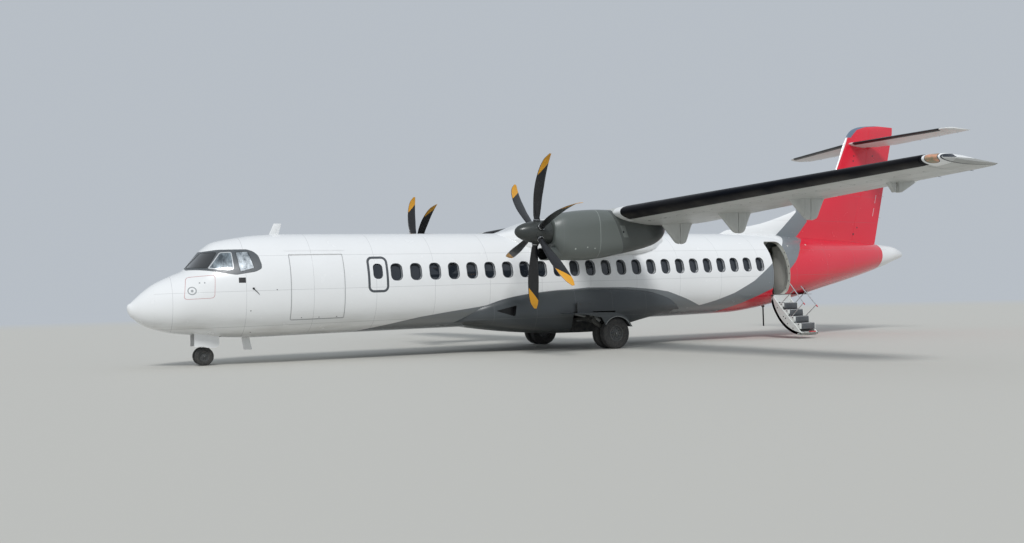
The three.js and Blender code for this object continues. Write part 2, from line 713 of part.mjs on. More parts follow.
// The left propeller's blade that points up, before it is turned to its place
function bladeBody(y, turn) {
  const rings = bladeTable.map(([radius, chord, thickness, degrees, aft, against]) => {
    const pitch = THREE.MathUtils.degToRad(degrees);
    return bladeSection.map(([along, across]) => {
      const x = aft + along * chord * Math.sin(pitch) - across * thickness * Math.cos(pitch);
      const t = -against + along * chord * Math.cos(pitch) + across * thickness * Math.sin(pitch);
      const height = Math.sqrt(Math.max(radius * radius - t * t, 0));
      const spot = new THREE.Vector3(PROP_X + x, t, height);
      spot.sub(new THREE.Vector3(PROP_X, 0, 0)).applyAxisAngle(new THREE.Vector3(1, 0, 0), turn);
      return [spot.x + PROP_X, spot.y + y, spot.z + PROP_Z];
    });
  });
  return loft(rings);
}

// Turn of the first blade from straight up, toward starboard, as each propeller has stopped
const propellerTurn = { left: -10, right: 21 };

function bladeTurns(name) {
  const first = THREE.MathUtils.degToRad(-propellerTurn[name]);
  return Array.from({ length: BLADES }, (_, k) => first + (k * 2 * Math.PI) / BLADES);
}

function makePropeller(name, side) {
  const y = (side * PROP_SPACING) / 2;
  const hub = bar([HUB.front, y, PROP_Z], [HUB.back, y, PROP_Z], HUB.radius, HUB.radius, 16);
  return join(hub, ...bladeTurns(name).map((turn) => bladeBody(y, turn)));
}

function makeSpinner(name, side) {
  const y = (side * PROP_SPACING) / 2;
  const length = SPINNER_BACK_X - SPINNER_TIP_X;
  const profile = [0, 0.04, 0.13, 0.28, 0.48, 0.72, 1].map((t) => (
    [SPINNER_TIP_X + t * length, SPINNER_RADIUS * Math.sqrt(1 - (1 - t) ** 2) ** 0.95]));
  const shell = turned(profile, [0, y, PROP_Z], 'x', 20);
  const coreRadius = HUB.radius + TOUCH;
  const core = bar([HUB.front - TOUCH, y, PROP_Z], [HUB.back + 50, y, PROP_Z], coreRadius, coreRadius, 16);
  const holes = bladeTurns(name).map((turn) => {
    const tip = new THREE.Vector3(0, 0, 450).applyAxisAngle(new THREE.Vector3(1, 0, 0), turn);
    return bar([PROP_X, y, PROP_Z], [PROP_X, y + tip.y, PROP_Z + tip.z], 80, 105, 8);
  });
  return cut(shell, core, ...holes);
}

// Doors, exits and cockpit windows. Sizes are seen from the side, lower edge at x0.
const AIRSTAIR = { x0: 19340, x1: 20075, sill: 1410, top: 3180, thickness: 90 };
const AIRSTAIR_HINGE = { y: -1245, z: 1395, radius: 24, endRadius: 36, sides: 20 };
const AIRSTAIR_OPEN = 146;
const VESTIBULE = { x0: 19120, x1: 21300, y1: 1200, z0: 1400, z1: 3230 };
const CARGO_DOOR = { x0: 3630, x1: 4970, z0: 1080, z1: 2700, thickness: 80 };
const CARGO_HINGE = { y: -1167, above: 4, radius: 22, sides: 16 };
const CARGO_BAY = { y1: 1000, z0: 1090, z1: 2680 };
const SERVICE_DOOR = { x0: 19330, x1: 19940, z0: 1430, z1: 2650, thickness: 90 };
const EMERGENCY_EXIT = { x0: 5620, x1: 6110, z0: 1745, z1: 2610, thickness: 60 };
const GLASS_DEPTH = 35;
const sideGlassOutline = [[1790, 2330], [2000, 2640], [2560, 2690], [2790, 2470], [2370, 2290]];
const windscreenOutline = [[60, 2290], [60, 2760], [560, 2740], [860, 2560], [800, 2290]];

// An outline drawn in toward its middle, so that each edge moves by about the inset
function drawnIn(outline, inset) {
  const middle = [0, 1].map((i) => outline.reduce((sum, p) => sum + p[i] / outline.length, 0));
  const nearest = 170;
  return outline.map((p) => p.map((v, i) => middle[i] + (v - middle[i]) * (1 - inset / nearest)));
}

function sideGlass(side, inset) {
  const points = drawnIn(sideGlassOutline, inset);
  return side < 0 ? slabXZ(points, -1600, -300) : slabXZ(points, 300, 1600);
}

function frontGlass(side, inset) {
  const points = drawnIn(windscreenOutline, inset).map(([y, z]) => [side * y, z]);
  return slabYZ(points, 1000, 1770);
}

// Nose gear bay and the wells of the main gear
const NOSE_BAY = { x0: 1440, x1: 2120, halfWidth: 320, top: 1180 };
const MAIN_WELL = { x0: 11560, x1: 12980, y0: 900, y1: 1800, z0: 300, z1: 1060 };

const mainWells = [-1, 1].map((side) => mirror(box(
  MAIN_WELL.x0, MAIN_WELL.x1, -MAIN_WELL.y1, -MAIN_WELL.y0, MAIN_WELL.z0, MAIN_WELL.z1), side));

const panelCut = (spec, side, inset) => slopedPanel(
  spec.x0, spec.x1, spec.z0 ?? spec.sill, spec.z1 ?? spec.top,
  side < 0 ? -1700 : 700, side < 0 ? -700 : 1700, inset);

// The round hinge bars that the airstair and the cargo door turn on, fast to the fuselage
function airstairHinge(part) {
  const { y, z, radius, endRadius, sides } = AIRSTAIR_HINGE;
  const [start, end] = [[AIRSTAIR.x0 + RUNNING, y, z], [AIRSTAIR.x1 - RUNNING, y, z]];
  if (part === 'lug') return bar(start, end, radius, endRadius, sides);
  return bar(start, end, boreRadius(radius, sides), boreRadius(endRadius, sides), sides);
}

function cargoHinge(part) {
  const { y, above, radius, sides } = CARGO_HINGE;
  const at = (x) => [x, y, CARGO_DOOR.z1 + above + (x - CARGO_DOOR.x0) * FLOOR_SLOPE];
  const size = part === 'lug' ? radius : boreRadius(radius, sides);
  return bar(at(CARGO_DOOR.x0 + RUNNING), at(CARGO_DOOR.x1 - RUNNING), size, size, sides);
}

// Blade antennas on the fuselage's middle line, as outlines in x and z
const ANTENNA_HALF_WIDTH = 14;
const antennaOutlines = [
  [[3390, 3240], [3530, 3570], [3730, 3570], [3640, 3240]],
  [[2670, 700], [2730, 340], [2940, 340], [2860, 700]],
];

function makeFuselage() {
  const hull = fuselageHull();
  const antennas = antennaOutlines.map((outline) => (
    slabXZ(outline, -ANTENNA_HALF_WIDTH, ANTENNA_HALF_WIDTH)));
  const exitRecess = skinLayer(EMERGENCY_EXIT.thickness + TOUCH, 50);
  const glassRecess = skinLayer(GLASS_DEPTH + TOUCH, 50);
  const pockets = [];
  for (const side of [-1, 1]) {
    pockets.push(exitRecess.intersect(panelCut(EMERGENCY_EXIT, side, 0)));
    pockets.push(glassRecess.intersect(sideGlass(side, 0)));
    pockets.push(glassRecess.intersect(frontGlass(side, 0)));
  }
  pockets.push(panelCut(AIRSTAIR, -1, 0));
  const { x0, x1, y1, z0, z1 } = VESTIBULE;
  pockets.push(fuselageHull(-120).intersect(box(x0, x1, -1500, y1, z0, z1)));
  pockets.push(skinLayer(SERVICE_DOOR.thickness + TOUCH, 50).intersect(panelCut(SERVICE_DOOR, 1, 0)));
  pockets.push(panelCut(CARGO_DOOR, -1, 0));
  pockets.push(box(CARGO_DOOR.x0 + 10, CARGO_DOOR.x1 - 10, -1000, CARGO_BAY.y1, CARGO_BAY.z0, CARGO_BAY.z1));
  pockets.push(box(NOSE_BAY.x0, NOSE_BAY.x1, -NOSE_BAY.halfWidth, NOSE_BAY.halfWidth, 300, NOSE_BAY.top));
  return join(cut(hull, ...pockets, ...mainWells), airstairHinge('lug'), cargoHinge('lug'), ...antennas);
}

// The open airstair: the door's skin with side plates and steps, hinged at the sill
const turnDoor = (body, degrees) => {
  const { y, z } = AIRSTAIR_HINGE;
  return body.translate([0, -y, -z]).rotate([degrees, 0, 0]).translate([0, y, z]);
};
const STEPS = { count: 4, first: [-1475, 1150], rise: 215, going: 240, depth: 270, thick: 200, inset: 40 };
const FOOT = { y: -2420, top: 205, depth: 290, thick: 95 };
// Outline of the stair's side plates in y and z with the door shut, before the skin trims them
const STAIR_SIDE = {
  thickness: 45,
  outline: [
    [-1500, 1425], [-1225, 1425], [-1190, 1500], [-1130, 1880], [-1010, 2455], [-850, 3150],
    [-1500, 3150],
  ],
};
// Shut, the stair stays inside this radius about its hinge, so it swings out under the doorway's top
const STAIR_REACH = 1796;

function stairSteps(grow = 0) {
  const board = (y, top, depth, thick) => box(AIRSTAIR.x0 + STEPS.inset, AIRSTAIR.x1 - STEPS.inset,
    y - depth - grow, y + grow, top - thick - grow, top + grow);
  const steps = Array.from({ length: STEPS.count }, (_, k) => board(
    STEPS.first[0] - k * STEPS.going, STEPS.first[1] - k * STEPS.rise, STEPS.depth, STEPS.thick));
  return [...steps, board(FOOT.y, FOOT.top, FOOT.depth, FOOT.thick)];
}

function makeAirstair() {
  const { x0, x1, thickness } = AIRSTAIR;
  const skin = skinLayer(thickness).intersect(panelCut(AIRSTAIR, -1, RUNNING));
  const sidePlates = [x0 + RUNNING, x1 - RUNNING - STAIR_SIDE.thickness].map((x) => (
    slabYZ(STAIR_SIDE.outline, x, x + STAIR_SIDE.thickness).intersect(fuselageHull(-1))));
  const stair = join(turnDoor(join(skin, ...sidePlates), AIRSTAIR_OPEN), ...stairSteps());
  // Shut, the whole stair has to fit its doorway, and open, nothing stands above the sill
  const doorway = slopedPanel(x0, x1, AIRSTAIR.sill, AIRSTAIR.top, -1700, 0, RUNNING);
  const { y, z } = AIRSTAIR_HINGE;
  const threshold = slabYZ([[y - 200, z - 120], [y + 700, z - 120], [y + 700, z + 420]], x0 - 100, x1 + 100);
  const reach = bar([x0 - 100, y, z], [x1 + 100, y, z], STAIR_REACH, STAIR_REACH, 64);
  const shut = turnDoor(stair, -AIRSTAIR_OPEN).intersect(doorway).intersect(reach).subtract(threshold);
  return turnDoor(shut.subtract(airstairHinge('pocket')), AIRSTAIR_OPEN);
}

// Hand rails that stand on the stair's steps, just inside its side plates.
// Columns: name, x, rail's upper y and z, lower y and z
const railTable = [
  ['front', AIRSTAIR.x0 + 68.6, -2060, 1740, -2650, 1080],
  ['rear', AIRSTAIR.x1 - 68.6, -1930, 1660, -2600, 1000],
];
const RAIL_RADIUS = 16;
// The two posts: share of the way down the rail, and the y and z of the foot
const railPosts = [[0.27, -1600, 1090], [0.92, -2060, 680]];

function makeRail([, x, y0, z0, y1, z1]) {
  const rail = bar([x, y0, z0], [x, y1, z1], RAIL_RADIUS, RAIL_RADIUS, 10);
  const posts = railPosts.map(([share, footY, footZ]) => bar(
    [x, y0 + (y1 - y0) * share, z0 + (z1 - z0) * share], [x, footY, footZ], RAIL_RADIUS, RAIL_RADIUS, 10));
  return cut(join(rail, ...posts), ...stairSteps(TOUCH));
}

// Wheels. A twin wheel is two rims on one axle that turns in the bearing of its fork or arm.
const NOSE_TYRE = { radius: 225, width: 160, y: 175, rim: 120, axle: 30, bearing: 70 };
const MAIN_TYRE = { radius: 432, width: 250, y: 205, rim: 215, axle: 48, bearing: 72 };
const AXLE_SIDES = 24;
const WHEEL_SIDES = 20;

function makeTyre({ radius, width, rim }, x, y) {
  const half = width / 2;
  const wall = radius - rim;
  const profile = [
    [-half * 0.72, rim], [-half * 0.98, rim + wall * 0.35], [-half * 0.92, rim + wall * 0.78],
    [-half * 0.55, radius], [half * 0.55, radius], [half * 0.92, rim + wall * 0.78],
    [half * 0.98, rim + wall * 0.35], [half * 0.72, rim],
  ];
  const hole = bar([x, y - width, radius], [x, y + width, radius], rim, rim, WHEEL_SIDES);
  return turned(profile, [x, y, radius], 'y', WHEEL_SIDES).subtract(hole);
}

function makeWheelPair(spec, x, centreY) {
  const { radius, width, y: apart, rim, axle, bearing } = spec;
  const half = width / 2;
  const spread = (from, to, size, sides) => [-1, 1].map((side) => (
    bar([x, centreY + side * from, radius], [x, centreY + side * to, radius], size, size, sides)));
  const rims = spread(apart - half * 0.62, apart + half * 0.5, rim - 1, WHEEL_SIDES);
  const bosses = spread(bearing + RUNNING, apart + half * 0.8, axle * 1.7, 12);
  const shaft = bar([x, centreY - apart, radius], [x, centreY + apart, radius], axle, axle, AXLE_SIDES);
  return join(shaft, ...rims, ...bosses);
}

function bearingBlock(spec, x, y, outer) {
  const { radius, axle, bearing } = spec;
  const shell = bar([x, y - bearing, radius], [x, y + bearing, radius], outer, outer, 16);
  const hole = boreRadius(axle, AXLE_SIDES);
  const bore = bar([x, y - 300, radius], [x, y + 300, radius], hole, hole, AXLE_SIDES);
  return [shell, bore];
}

// Nose gear: the leg is fixed in its bay and the fork below it steers
const NOSE_LEG = { radius: 62, bottom: 620, braceX: 1500, braceZ: 820 };
const NOSE_DOOR = { x0: 1490, x1: 2080, bottom: 440, y: 335, thickness: 14 };

function makeNoseLeg() {
  const { radius, bottom, braceX, braceZ } = NOSE_LEG;
  const top = NOSE_BAY.top - TOUCH;
  const leg = bar([NOSE_GEAR_X, 0, bottom], [NOSE_GEAR_X, 0, top], radius, radius, 20);
  const brace = bar([NOSE_GEAR_X, 0, braceZ], [braceX, 0, top], 32, 32, 12);
  const crossTube = bar([NOSE_GEAR_X, -150, 1080], [NOSE_GEAR_X, 150, 1080], 40, 40, 12);
  const above = box(1000, 2600, -400, 400, top, top + 200);
  return cut(join(leg, brace, crossTube), above);
}

function makeNoseFork() {
  const [block, bore] = bearingBlock(NOSE_TYRE, NOSE_GEAR_X, 0, 62);
  const piston = bar(
    [NOSE_GEAR_X, 0, NOSE_TYRE.radius], [NOSE_GEAR_X, 0, NOSE_LEG.bottom - TOUCH], 46, 46, 20);
  return piston.add(block).subtract(bore);
}

function makeNoseDoor(side) {
  const { x0, x1, bottom, y, thickness } = NOSE_DOOR;
  const plate = slabXZ([
    [x0, 900], [x0, bottom + 20], [NOSE_GEAR_X - 120, bottom + 45], [NOSE_GEAR_X + 80, bottom],
    [x1 - 60, bottom], [x1, bottom + 80], [x1, 900],
  ], -y - thickness, -y);
  return mirror(plate.subtract(fuselageHull(TOUCH)), side);
}

// Main gear: a leg out of the belly, a trailing arm with the axle's bearing, and a door
// over the wheels that the leg carries
const MAIN_LEG = { x: 11900, rootY: 1100, rootZ: 940, pivotZ: 820, radius: 85, armRadius: 68 };
const LEG_DOOR = { inner: 1690, outer: 2425, plate: 24, top: 1010, archRadius: 468 };
const mainY = MAIN_TRACK / 2;

function mainArm(grow) {
  const { x, pivotZ, armRadius } = MAIN_LEG;
  const pivot = bar([x, -mainY - 95, pivotZ], [x, -mainY + 95, pivotZ], 75 + grow, 75 + grow, 12);
  const arm = bar([x, -mainY, pivotZ], [MAIN_GEAR_X, -mainY, MAIN_TYRE.radius], armRadius + grow, 60 + grow, 12);
  const [block, bore] = bearingBlock(MAIN_TYRE, MAIN_GEAR_X, -mainY, 98 + grow);
  return join(pivot, arm, block).subtract(bore);
}

function makeMainLeg() {
  const { x, rootY, rootZ, pivotZ, radius } = MAIN_LEG;
  const beam = bar([x, -rootY, rootZ], [x, -mainY, pivotZ + 60], radius + 15, radius, 12);
  const root = bar([x - 200, -rootY, rootZ], [x + 300, -rootY, rootZ], 90, 90, 12);
  const post = bar([x, -mainY, pivotZ], [x, -mainY, LEG_DOOR.top - TOUCH], 70, 70, 12);
  const stay = bar([x - 180, -rootY - 60, rootZ - 60], [x, -mainY + 150, pivotZ], 42, 42, 8);
  const shock = bar([x + 30, -mainY, LEG_DOOR.top - 65], [MAIN_GEAR_X - 190, -mainY, 660], 52, 44, 12);
  const mount = bar([x + 50, -rootY, rootZ], [x + 50, -rootY, MAIN_WELL.z1 - TOUCH], 70, 70, 12);
  return cut(join(beam, root, post, stay, shock, mount), mainArm(TOUCH));
}

function makeLegDoor() {
  const { inner, outer, plate, top, archRadius } = LEG_DOOR;
  const upper = [[11120, top], [12020, top], [12350, top - 5], [12620, top - 55], [12830, 850], [12985, 610]];
  const roof = [...upper.map(([x, z]) => [x, z + plate]), ...[...upper].reverse()];
  roof[5] = [upper[5][0] + plate, upper[5][1]];
  const arch = [];
  for (let degrees = 22; degrees <= 150; degrees += 16) {
    const angle = THREE.MathUtils.degToRad(degrees);
    arch.push([MAIN_GEAR_X + archRadius * Math.cos(angle), MAIN_TYRE.radius + archRadius * Math.sin(angle)]);
  }
  const skirt = [...upper.map(([x, z]) => [x, z + 1]), [12975, 615], ...arch, [11980, 900], [11500, 980]];
  const standing = box(11640, 12160, -inner - plate, -inner, top, 1330);
  return join(
    slabXZ(roof, -outer, -inner), slabXZ(skirt, -outer, -outer + plate), standing);
}

// Steady rod that hangs under the tail
const TAIL_ROD = { x: 20150, bottom: 350, radius: 24 };
function makeTailRod() {
  const { x, bottom, radius } = TAIL_ROD;
  const rod = bar([x, 0, bottom], [x, 0, 1300], radius, radius, 12);
  const bracket = bar([x, 0, 1020], [x, 0, 1300], radius * 2, radius * 2, 12);
  return rod.add(bracket).subtract(fuselageHull(TOUCH));
}

addNode('radome', loft([[[0, 0, NOSE_TIP_Z]], ...fuselageBody(80, RADOME_END - TOUCH)]), 'white');
addNode('fuselage', makeFuselage(), 'white');
addNode('tail_cone', loft([
  ...fuselageBody(TAIL_CONE_START + TOUCH, 27030), [[LENGTH, 0, TAIL_TIP_Z]],
]), 'white');

addNode('belly_fairing', cut(bellyWhole(), fuselageHull(TOUCH), ...mainWells), 'swooshGrey');
addNode('wing_fairing', cut(saddleWhole(), fuselageHull(TOUCH), wingBody(TOUCH)), 'white');
addNode('wing', cut(makeWing(), fuselageHull(TOUCH)), 'wingGrey');
for (const [name, side] of [['left', -1], ['right', 1]]) {
  addNode(`flap_inner_${name}`, mirror(makeFlap(INNER_FLAP, 'inner'), side), 'wingGrey');
  addNode(`flap_outer_${name}`, mirror(makeFlap(OUTER_FLAP, 'outer'), side), 'wingGrey');
  addNode(`aileron_${name}`, mirror(makeAileron(), side), 'wingGrey');
  addNode(`nacelle_${name}`, makeNacelle(side), 'nacelleGrey');
  addNode(`engine_${name}`, makeEngine(side), 'steel');
  addNode(`propeller_${name}`, makePropeller(name, side), 'black');
  addNode(`spinner_${name}`, makeSpinner(name, side), 'nacelleGrey');
}

const finFixed = cut(finWhole(), rudderRegion(SURFACE_GAP), tailWhole(TOUCH), fuselageHull(TOUCH));
addNode('fin', join(finFixed, ...rudderHinges('lug')), 'red');
const rudder = finWhole().intersect(rudderRegion(0)).intersect(aboveTail());
addNode('rudder', cut(rudder, ...rudderHinges('pocket')), 'red');
const tailFixed = cut(tailWhole(), rudderSwing());
const tailPlane = cut(tailFixed, elevatorRegion(SURFACE_GAP), mirror(elevatorRegion(SURFACE_GAP), 1));
const tailLugs = [-1, 1].flatMap((side) => elevatorHinges('lug').map((body) => mirror(body, side)));
addNode('tailplane', join(tailPlane, ...tailLugs), 'white');
for (const [name, side] of [['left', -1], ['right', 1]]) {
  const elevator = cut(tailFixed.intersect(elevatorRegion(0)), ...elevatorHinges('pocket'));
  addNode(`elevator_${name}`, mirror(elevator, side), 'white');
}

for (const [name, side] of [['left', -1], ['right', 1]]) {
  const glass = skinLayer(GLASS_DEPTH);
  addNode(`windscreen_${name}`, glass.intersect(frontGlass(side, SEAM)), 'glass');
  addNode(`side_window_${name}`, glass.intersect(sideGlass(side, SEAM)), 'glass');
  const exit = skinLayer(EMERGENCY_EXIT.thickness).intersect(panelCut(EMERGENCY_EXIT, side, SEAM));
  addNode(`emergency_exit_${name}`, exit, 'white');
}
addNode('service_door', skinLayer(SERVICE_DOOR.thickness).intersect(panelCut(SERVICE_DOOR, 1, SEAM)), 'white');
const cargoPanel = skinLayer(CARGO_DOOR.thickness).intersect(panelCut(CARGO_DOOR, -1, RUNNING));
addNode('cargo_door', cargoPanel.subtract(cargoHinge('pocket')), 'white');
addNode('airstair', makeAirstair(), 'stairGrey');
for (const row of railTable) addNode(`stair_rail_${row[0]}`, makeRail(row), 'metal');
addNode('tail_rod', makeTailRod(), 'steel');

addNode('nose_leg', makeNoseLeg(), 'metal');
addNode('nose_fork', makeNoseFork(), 'metal');
addNode('nose_wheels', makeWheelPair(NOSE_TYRE, NOSE_GEAR_X, 0), 'steel');
for (const [name, side] of [['left', -1], ['right', 1]]) {
  addNode(`nose_door_${name}`, makeNoseDoor(side), 'white');
  addNode(`nose_tyre_${name}`, makeTyre(NOSE_TYRE, NOSE_GEAR_X, side * NOSE_TYRE.y), 'rubber');
  addNode(`main_leg_${name}`, mirror(makeMainLeg(), side), 'steel');
  addNode(`main_arm_${name}`, mirror(mainArm(0), side), 'steel');
  addNode(`leg_door_${name}`, mirror(makeLegDoor(), side), 'swooshGrey');
  addNode(`main_wheels_${name}`, makeWheelPair(MAIN_TYRE, MAIN_GEAR_X, side * mainY), 'steel');
  for (const [place, inOrOut] of [['inner', -1], ['outer', 1]]) {
    const y = side * (mainY + inOrOut * MAIN_TYRE.y);
    addNode(`main_tyre_${place}_${name}`, makeTyre(MAIN_TYRE, MAIN_GEAR_X, y), 'rubber');
  }
}

export default group;
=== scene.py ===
# Turboprop airliner parked on its wheels, with the airstair open.
# Stations are metres aft of the nose tip, y is positive to starboard, z is up from the ground.
import math

import bmesh
import bpy
from mathutils import Matrix, Vector


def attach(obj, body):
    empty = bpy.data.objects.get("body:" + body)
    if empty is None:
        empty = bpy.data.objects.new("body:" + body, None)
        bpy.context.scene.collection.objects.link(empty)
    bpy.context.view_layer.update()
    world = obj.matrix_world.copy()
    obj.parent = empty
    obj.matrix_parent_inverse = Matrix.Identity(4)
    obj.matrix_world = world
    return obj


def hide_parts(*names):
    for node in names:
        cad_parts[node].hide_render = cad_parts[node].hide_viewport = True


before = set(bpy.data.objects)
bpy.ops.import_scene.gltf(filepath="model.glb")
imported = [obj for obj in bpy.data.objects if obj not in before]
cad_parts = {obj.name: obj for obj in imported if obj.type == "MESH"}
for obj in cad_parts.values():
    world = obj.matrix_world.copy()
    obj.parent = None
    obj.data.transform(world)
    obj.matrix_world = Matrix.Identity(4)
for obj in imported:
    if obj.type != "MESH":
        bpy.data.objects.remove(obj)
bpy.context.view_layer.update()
scene = bpy.context.scene
noseTip = -13.585  # where station 0 lies in the frame
overallLength = 27.17
floorSlope = 0.0135  # the parked aircraft stands this much nose down
stairHinge, stairOpen = (-1.245, 1.395), 146  # the airstair's axis in y and z, and how far it opens in degrees
sides = (("left", -1), ("right", 1))

# Camera

camera = {"place": (-15.305, -23.46, 1.39), "yaw": 27.45, "pitch": 1.93, "roll": -1.41,
          "focalPixels": 898, "framePixels": 1024}


def makeCamera(values):
    yaw, pitch, roll = (math.radians(values[key]) for key in ("yaw", "pitch", "roll"))
    forward = Vector((math.sin(yaw) * math.cos(pitch), math.cos(yaw) * math.cos(pitch), math.sin(pitch)))
    level = Vector((math.cos(yaw), -math.sin(yaw), 0))
    right = Matrix.Rotation(-roll, 3, forward) @ level
    turn = Matrix((right, right.cross(forward), -forward)).transposed()
    data = bpy.data.cameras.new("photoCamera")
    data.sensor_width = 36
    data.lens = values["focalPixels"] * data.sensor_width / values["framePixels"]
    data.clip_end = 2000
    made = bpy.data.objects.new("photoCamera", data)
    made.matrix_world = Matrix.Translation(values["place"]) @ turn.to_4x4()
    scene.collection.objects.link(made)
    scene.camera = made


makeCamera(camera)

# Materials


# sRGB hex to linear
def colourOf(text):
    parts = [int(text[i:i + 2], 16) / 255 for i in (1, 3, 5)]
    return (*[v / 12.92 if v <= 0.04045 else ((v + 0.055) / 1.055) ** 2.4 for v in parts], 1)


def addNode(tree, kind, inputs=None, **settings):
    node = tree.nodes.new("ShaderNode" + kind)
    for key, value in settings.items():
        setattr(node, key, value)
    for key, value in (inputs or {}).items():
        if isinstance(value, bpy.types.NodeSocket):
            tree.links.new(value, node.inputs[key])
        else:
            node.inputs[key].default_value = value
    return node


# A material with its shader, and the place of each point as sockets
class Finish:

    def __init__(self, name, turned=0.0, **shader):
        self.material = bpy.data.materials.new(name)
        self.material.use_nodes = True
        self.tree = self.material.node_tree
        self.shader = self.tree.nodes["Principled BSDF"]
        for key, value in shader.items():
            self.shader.inputs[key.replace("_", " ")].default_value = value
        self.place = addNode(self.tree, "TexCoord").outputs["Object"]
        if turned:
            self.place = addNode(self.tree, "VectorRotate", {
                "Vector": self.place, "Center": (0, *stairHinge), "Angle": math.radians(turned)},
                rotation_type="X_AXIS").outputs[0]
        self.x, self.y, self.z = addNode(self.tree, "SeparateXYZ", {0: self.place}).outputs
        self.station = self.minus(self.x, noseTip)
        self.out = self.calc("ABSOLUTE", self.y)

    def calc(self, operation, a, b=0.0, c=0.0):
        return addNode(self.tree, "Math", {0: a, 1: b, 2: c}, operation=operation).outputs[0]

    def minus(self, a, b):
        return self.calc("SUBTRACT", a, b)

    # a over b, moved by a middle first
    def share(self, a, middle, b):
        return self.calc("DIVIDE", self.minus(a, middle), b)

    # The square of how far two shares lie from the middle
    def reach(self, a, b):
        return self.calc("MULTIPLY_ADD", a, a, self.both(b, b))

    def noise(self, perMetre, detail, stretch=(1, 1, 1), rough=0.5):
        spot = addNode(self.tree, "Mapping", {0: self.place, "Scale": stretch}).outputs[0]
        return addNode(self.tree, "TexNoise",
                       {"Vector": spot, "Scale": perMetre, "Detail": detail, "Roughness": rough}).outputs[0]

    def span(self, value, low, high, lowOut=0.0, highOut=1.0):
        return addNode(self.tree, "MapRange", {0: value, 1: low, 2: high, 3: lowOut, 4: highOut}).outputs[0]

    def above(self, value, limit):
        return self.calc("GREATER_THAN", value, limit)

    def below(self, value, limit):
        return self.calc("LESS_THAN", value, limit)

    def near(self, value, middle, half):
        return self.calc("COMPARE", value, middle, half)

    def both(self, a, b):
        return self.calc("MULTIPLY", a, b)

    def either(self, a, b):
        return self.calc("MAXIMUM", a, b)

    # Inside any of some circles on the side, each a station, a height and a radius
    def discs(self, spots):
        inside = None
        for station, height, radius in spots:
            reach = self.reach(self.minus(self.station, station), self.minus(self.z, height))
            spot = self.below(reach, radius * radius)
            inside = spot if inside is None else self.either(inside, spot)
        return inside

    # Thin lines across a length, one every pitch metres
    def lines(self, value, pitch, width, offset):
        step = self.calc("FRACT", self.share(value, offset, pitch))
        return self.above(self.calc("ABSOLUTE", self.minus(step, 0.5)), 0.5 - width / pitch / 2)

    # Some points joined by straight lines and read at a value; reads and gives are the ranges of the two axes
    def curve(self, value, points, reads, gives):
        node = addNode(self.tree, "FloatCurve", {"Value": self.span(value, *reads)})
        made = node.mapping.curves[0]
        while len(made.points) < len(points):
            made.points.new(0.5, 0.5)
        for point, pair in zip(made.points, points):
            point.location = [(v - low) / (high - low) for v, (low, high) in zip(pair, (reads, gives))]
            point.handle_type = "VECTOR"
        node.mapping.update()
        return self.span(node.outputs[0], 0, 1, *gives)

    # Mixes two colours, each a socket or a hex text
    def blend(self, share, a, b):
        node = addNode(self.tree, "Mix", {0: share}, data_type="RGBA", clamp_factor=True)
        for socket, value in ((node.inputs[6], a), (node.inputs[7], b)):
            self.fill(socket, value)
        return node.outputs[2]

    def fill(self, socket, value):
        if isinstance(value, str):
            socket.default_value = colourOf(value)
        else:
            self.tree.links.new(value, socket)

    def colour(self, value):
        self.fill(self.shader.inputs["Base Color"], value)

    def roughness(self, value):
        self.tree.links.new(value, self.shader.inputs["Roughness"])

    def bump(self, height, millimetres):
        node = addNode(self.tree, "Bump", {"Height": height, "Strength": 1.0, "Distance": millimetres / 1000})
        self.tree.links.new(node.outputs[0], self.shader.inputs["Normal"])

    # How far the surface faces up, from -1 to 1
    def facing(self):
        normal = addNode(self.tree, "NewGeometry").outputs["True Normal"]
        return addNode(self.tree, "SeparateXYZ", {0: normal}).outputs[2]


paint = {
    "white": "#eceded", "grey": "#767c80", "red": "#dc1d36", "wingGrey": "#bfc1be", "boot": "#0b0e16",
    # The dirt colour at the end of the next line also serves as painted shade on surfaces that face down
    "nacelle": "#616764", "belly": "#404548", "stairWhite": "#dcdedb", "seam": "#6f7273", "grimeAndUndersideShade": "#8d877c",
    # The near-black on the next line colours the sooty nacelle tails and also the painted wing shadow on the rear
    # cowls
    "rearDark": "#1d2022",
}
# Where the white ends at the grey sweep, and where the grey ends at the red, as station and height
sweepEdge = [(0, -1), (4.9, 0.55), (5.49, 0.726), (6.06, 0.84), (7.08, 1.05), (7.91, 1.17), (8.78, 1.28),
             (10.24, 1.54), (11.2, 1.68), (12.2, 1.75), (13.6, 1.74), (14.6, 1.66), (15.09, 1.588),
             (15.85, 1.355), (16.465, 1.138), (17.01, 1.269), (17.71, 1.495), (18.51, 1.877), (19.4, 2.485),
             (20.17, 3.094), (20.709, 3.48), (21.384, 4.01), (21.851, 4.37), (22.3, 7.9), (27.17, 7.9)]
redEdge = [(0, -1), (17.0, 0.7), (17.6, 0.965), (18.21, 1.178), (18.92, 1.458), (19.32, 1.617), (20.1, 2.261),
           (20.41, 2.505), (20.7, 2.797), (21.01, 3.1), (21.67, 3.438), (22.246, 4.03), (22.5, 7.9),
           (27.17, 7.9)]


def belowEdge(finish, edge):
    return finish.below(finish.z, finish.curve(finish.station, edge, (0, overallLength), (-1, 9)))
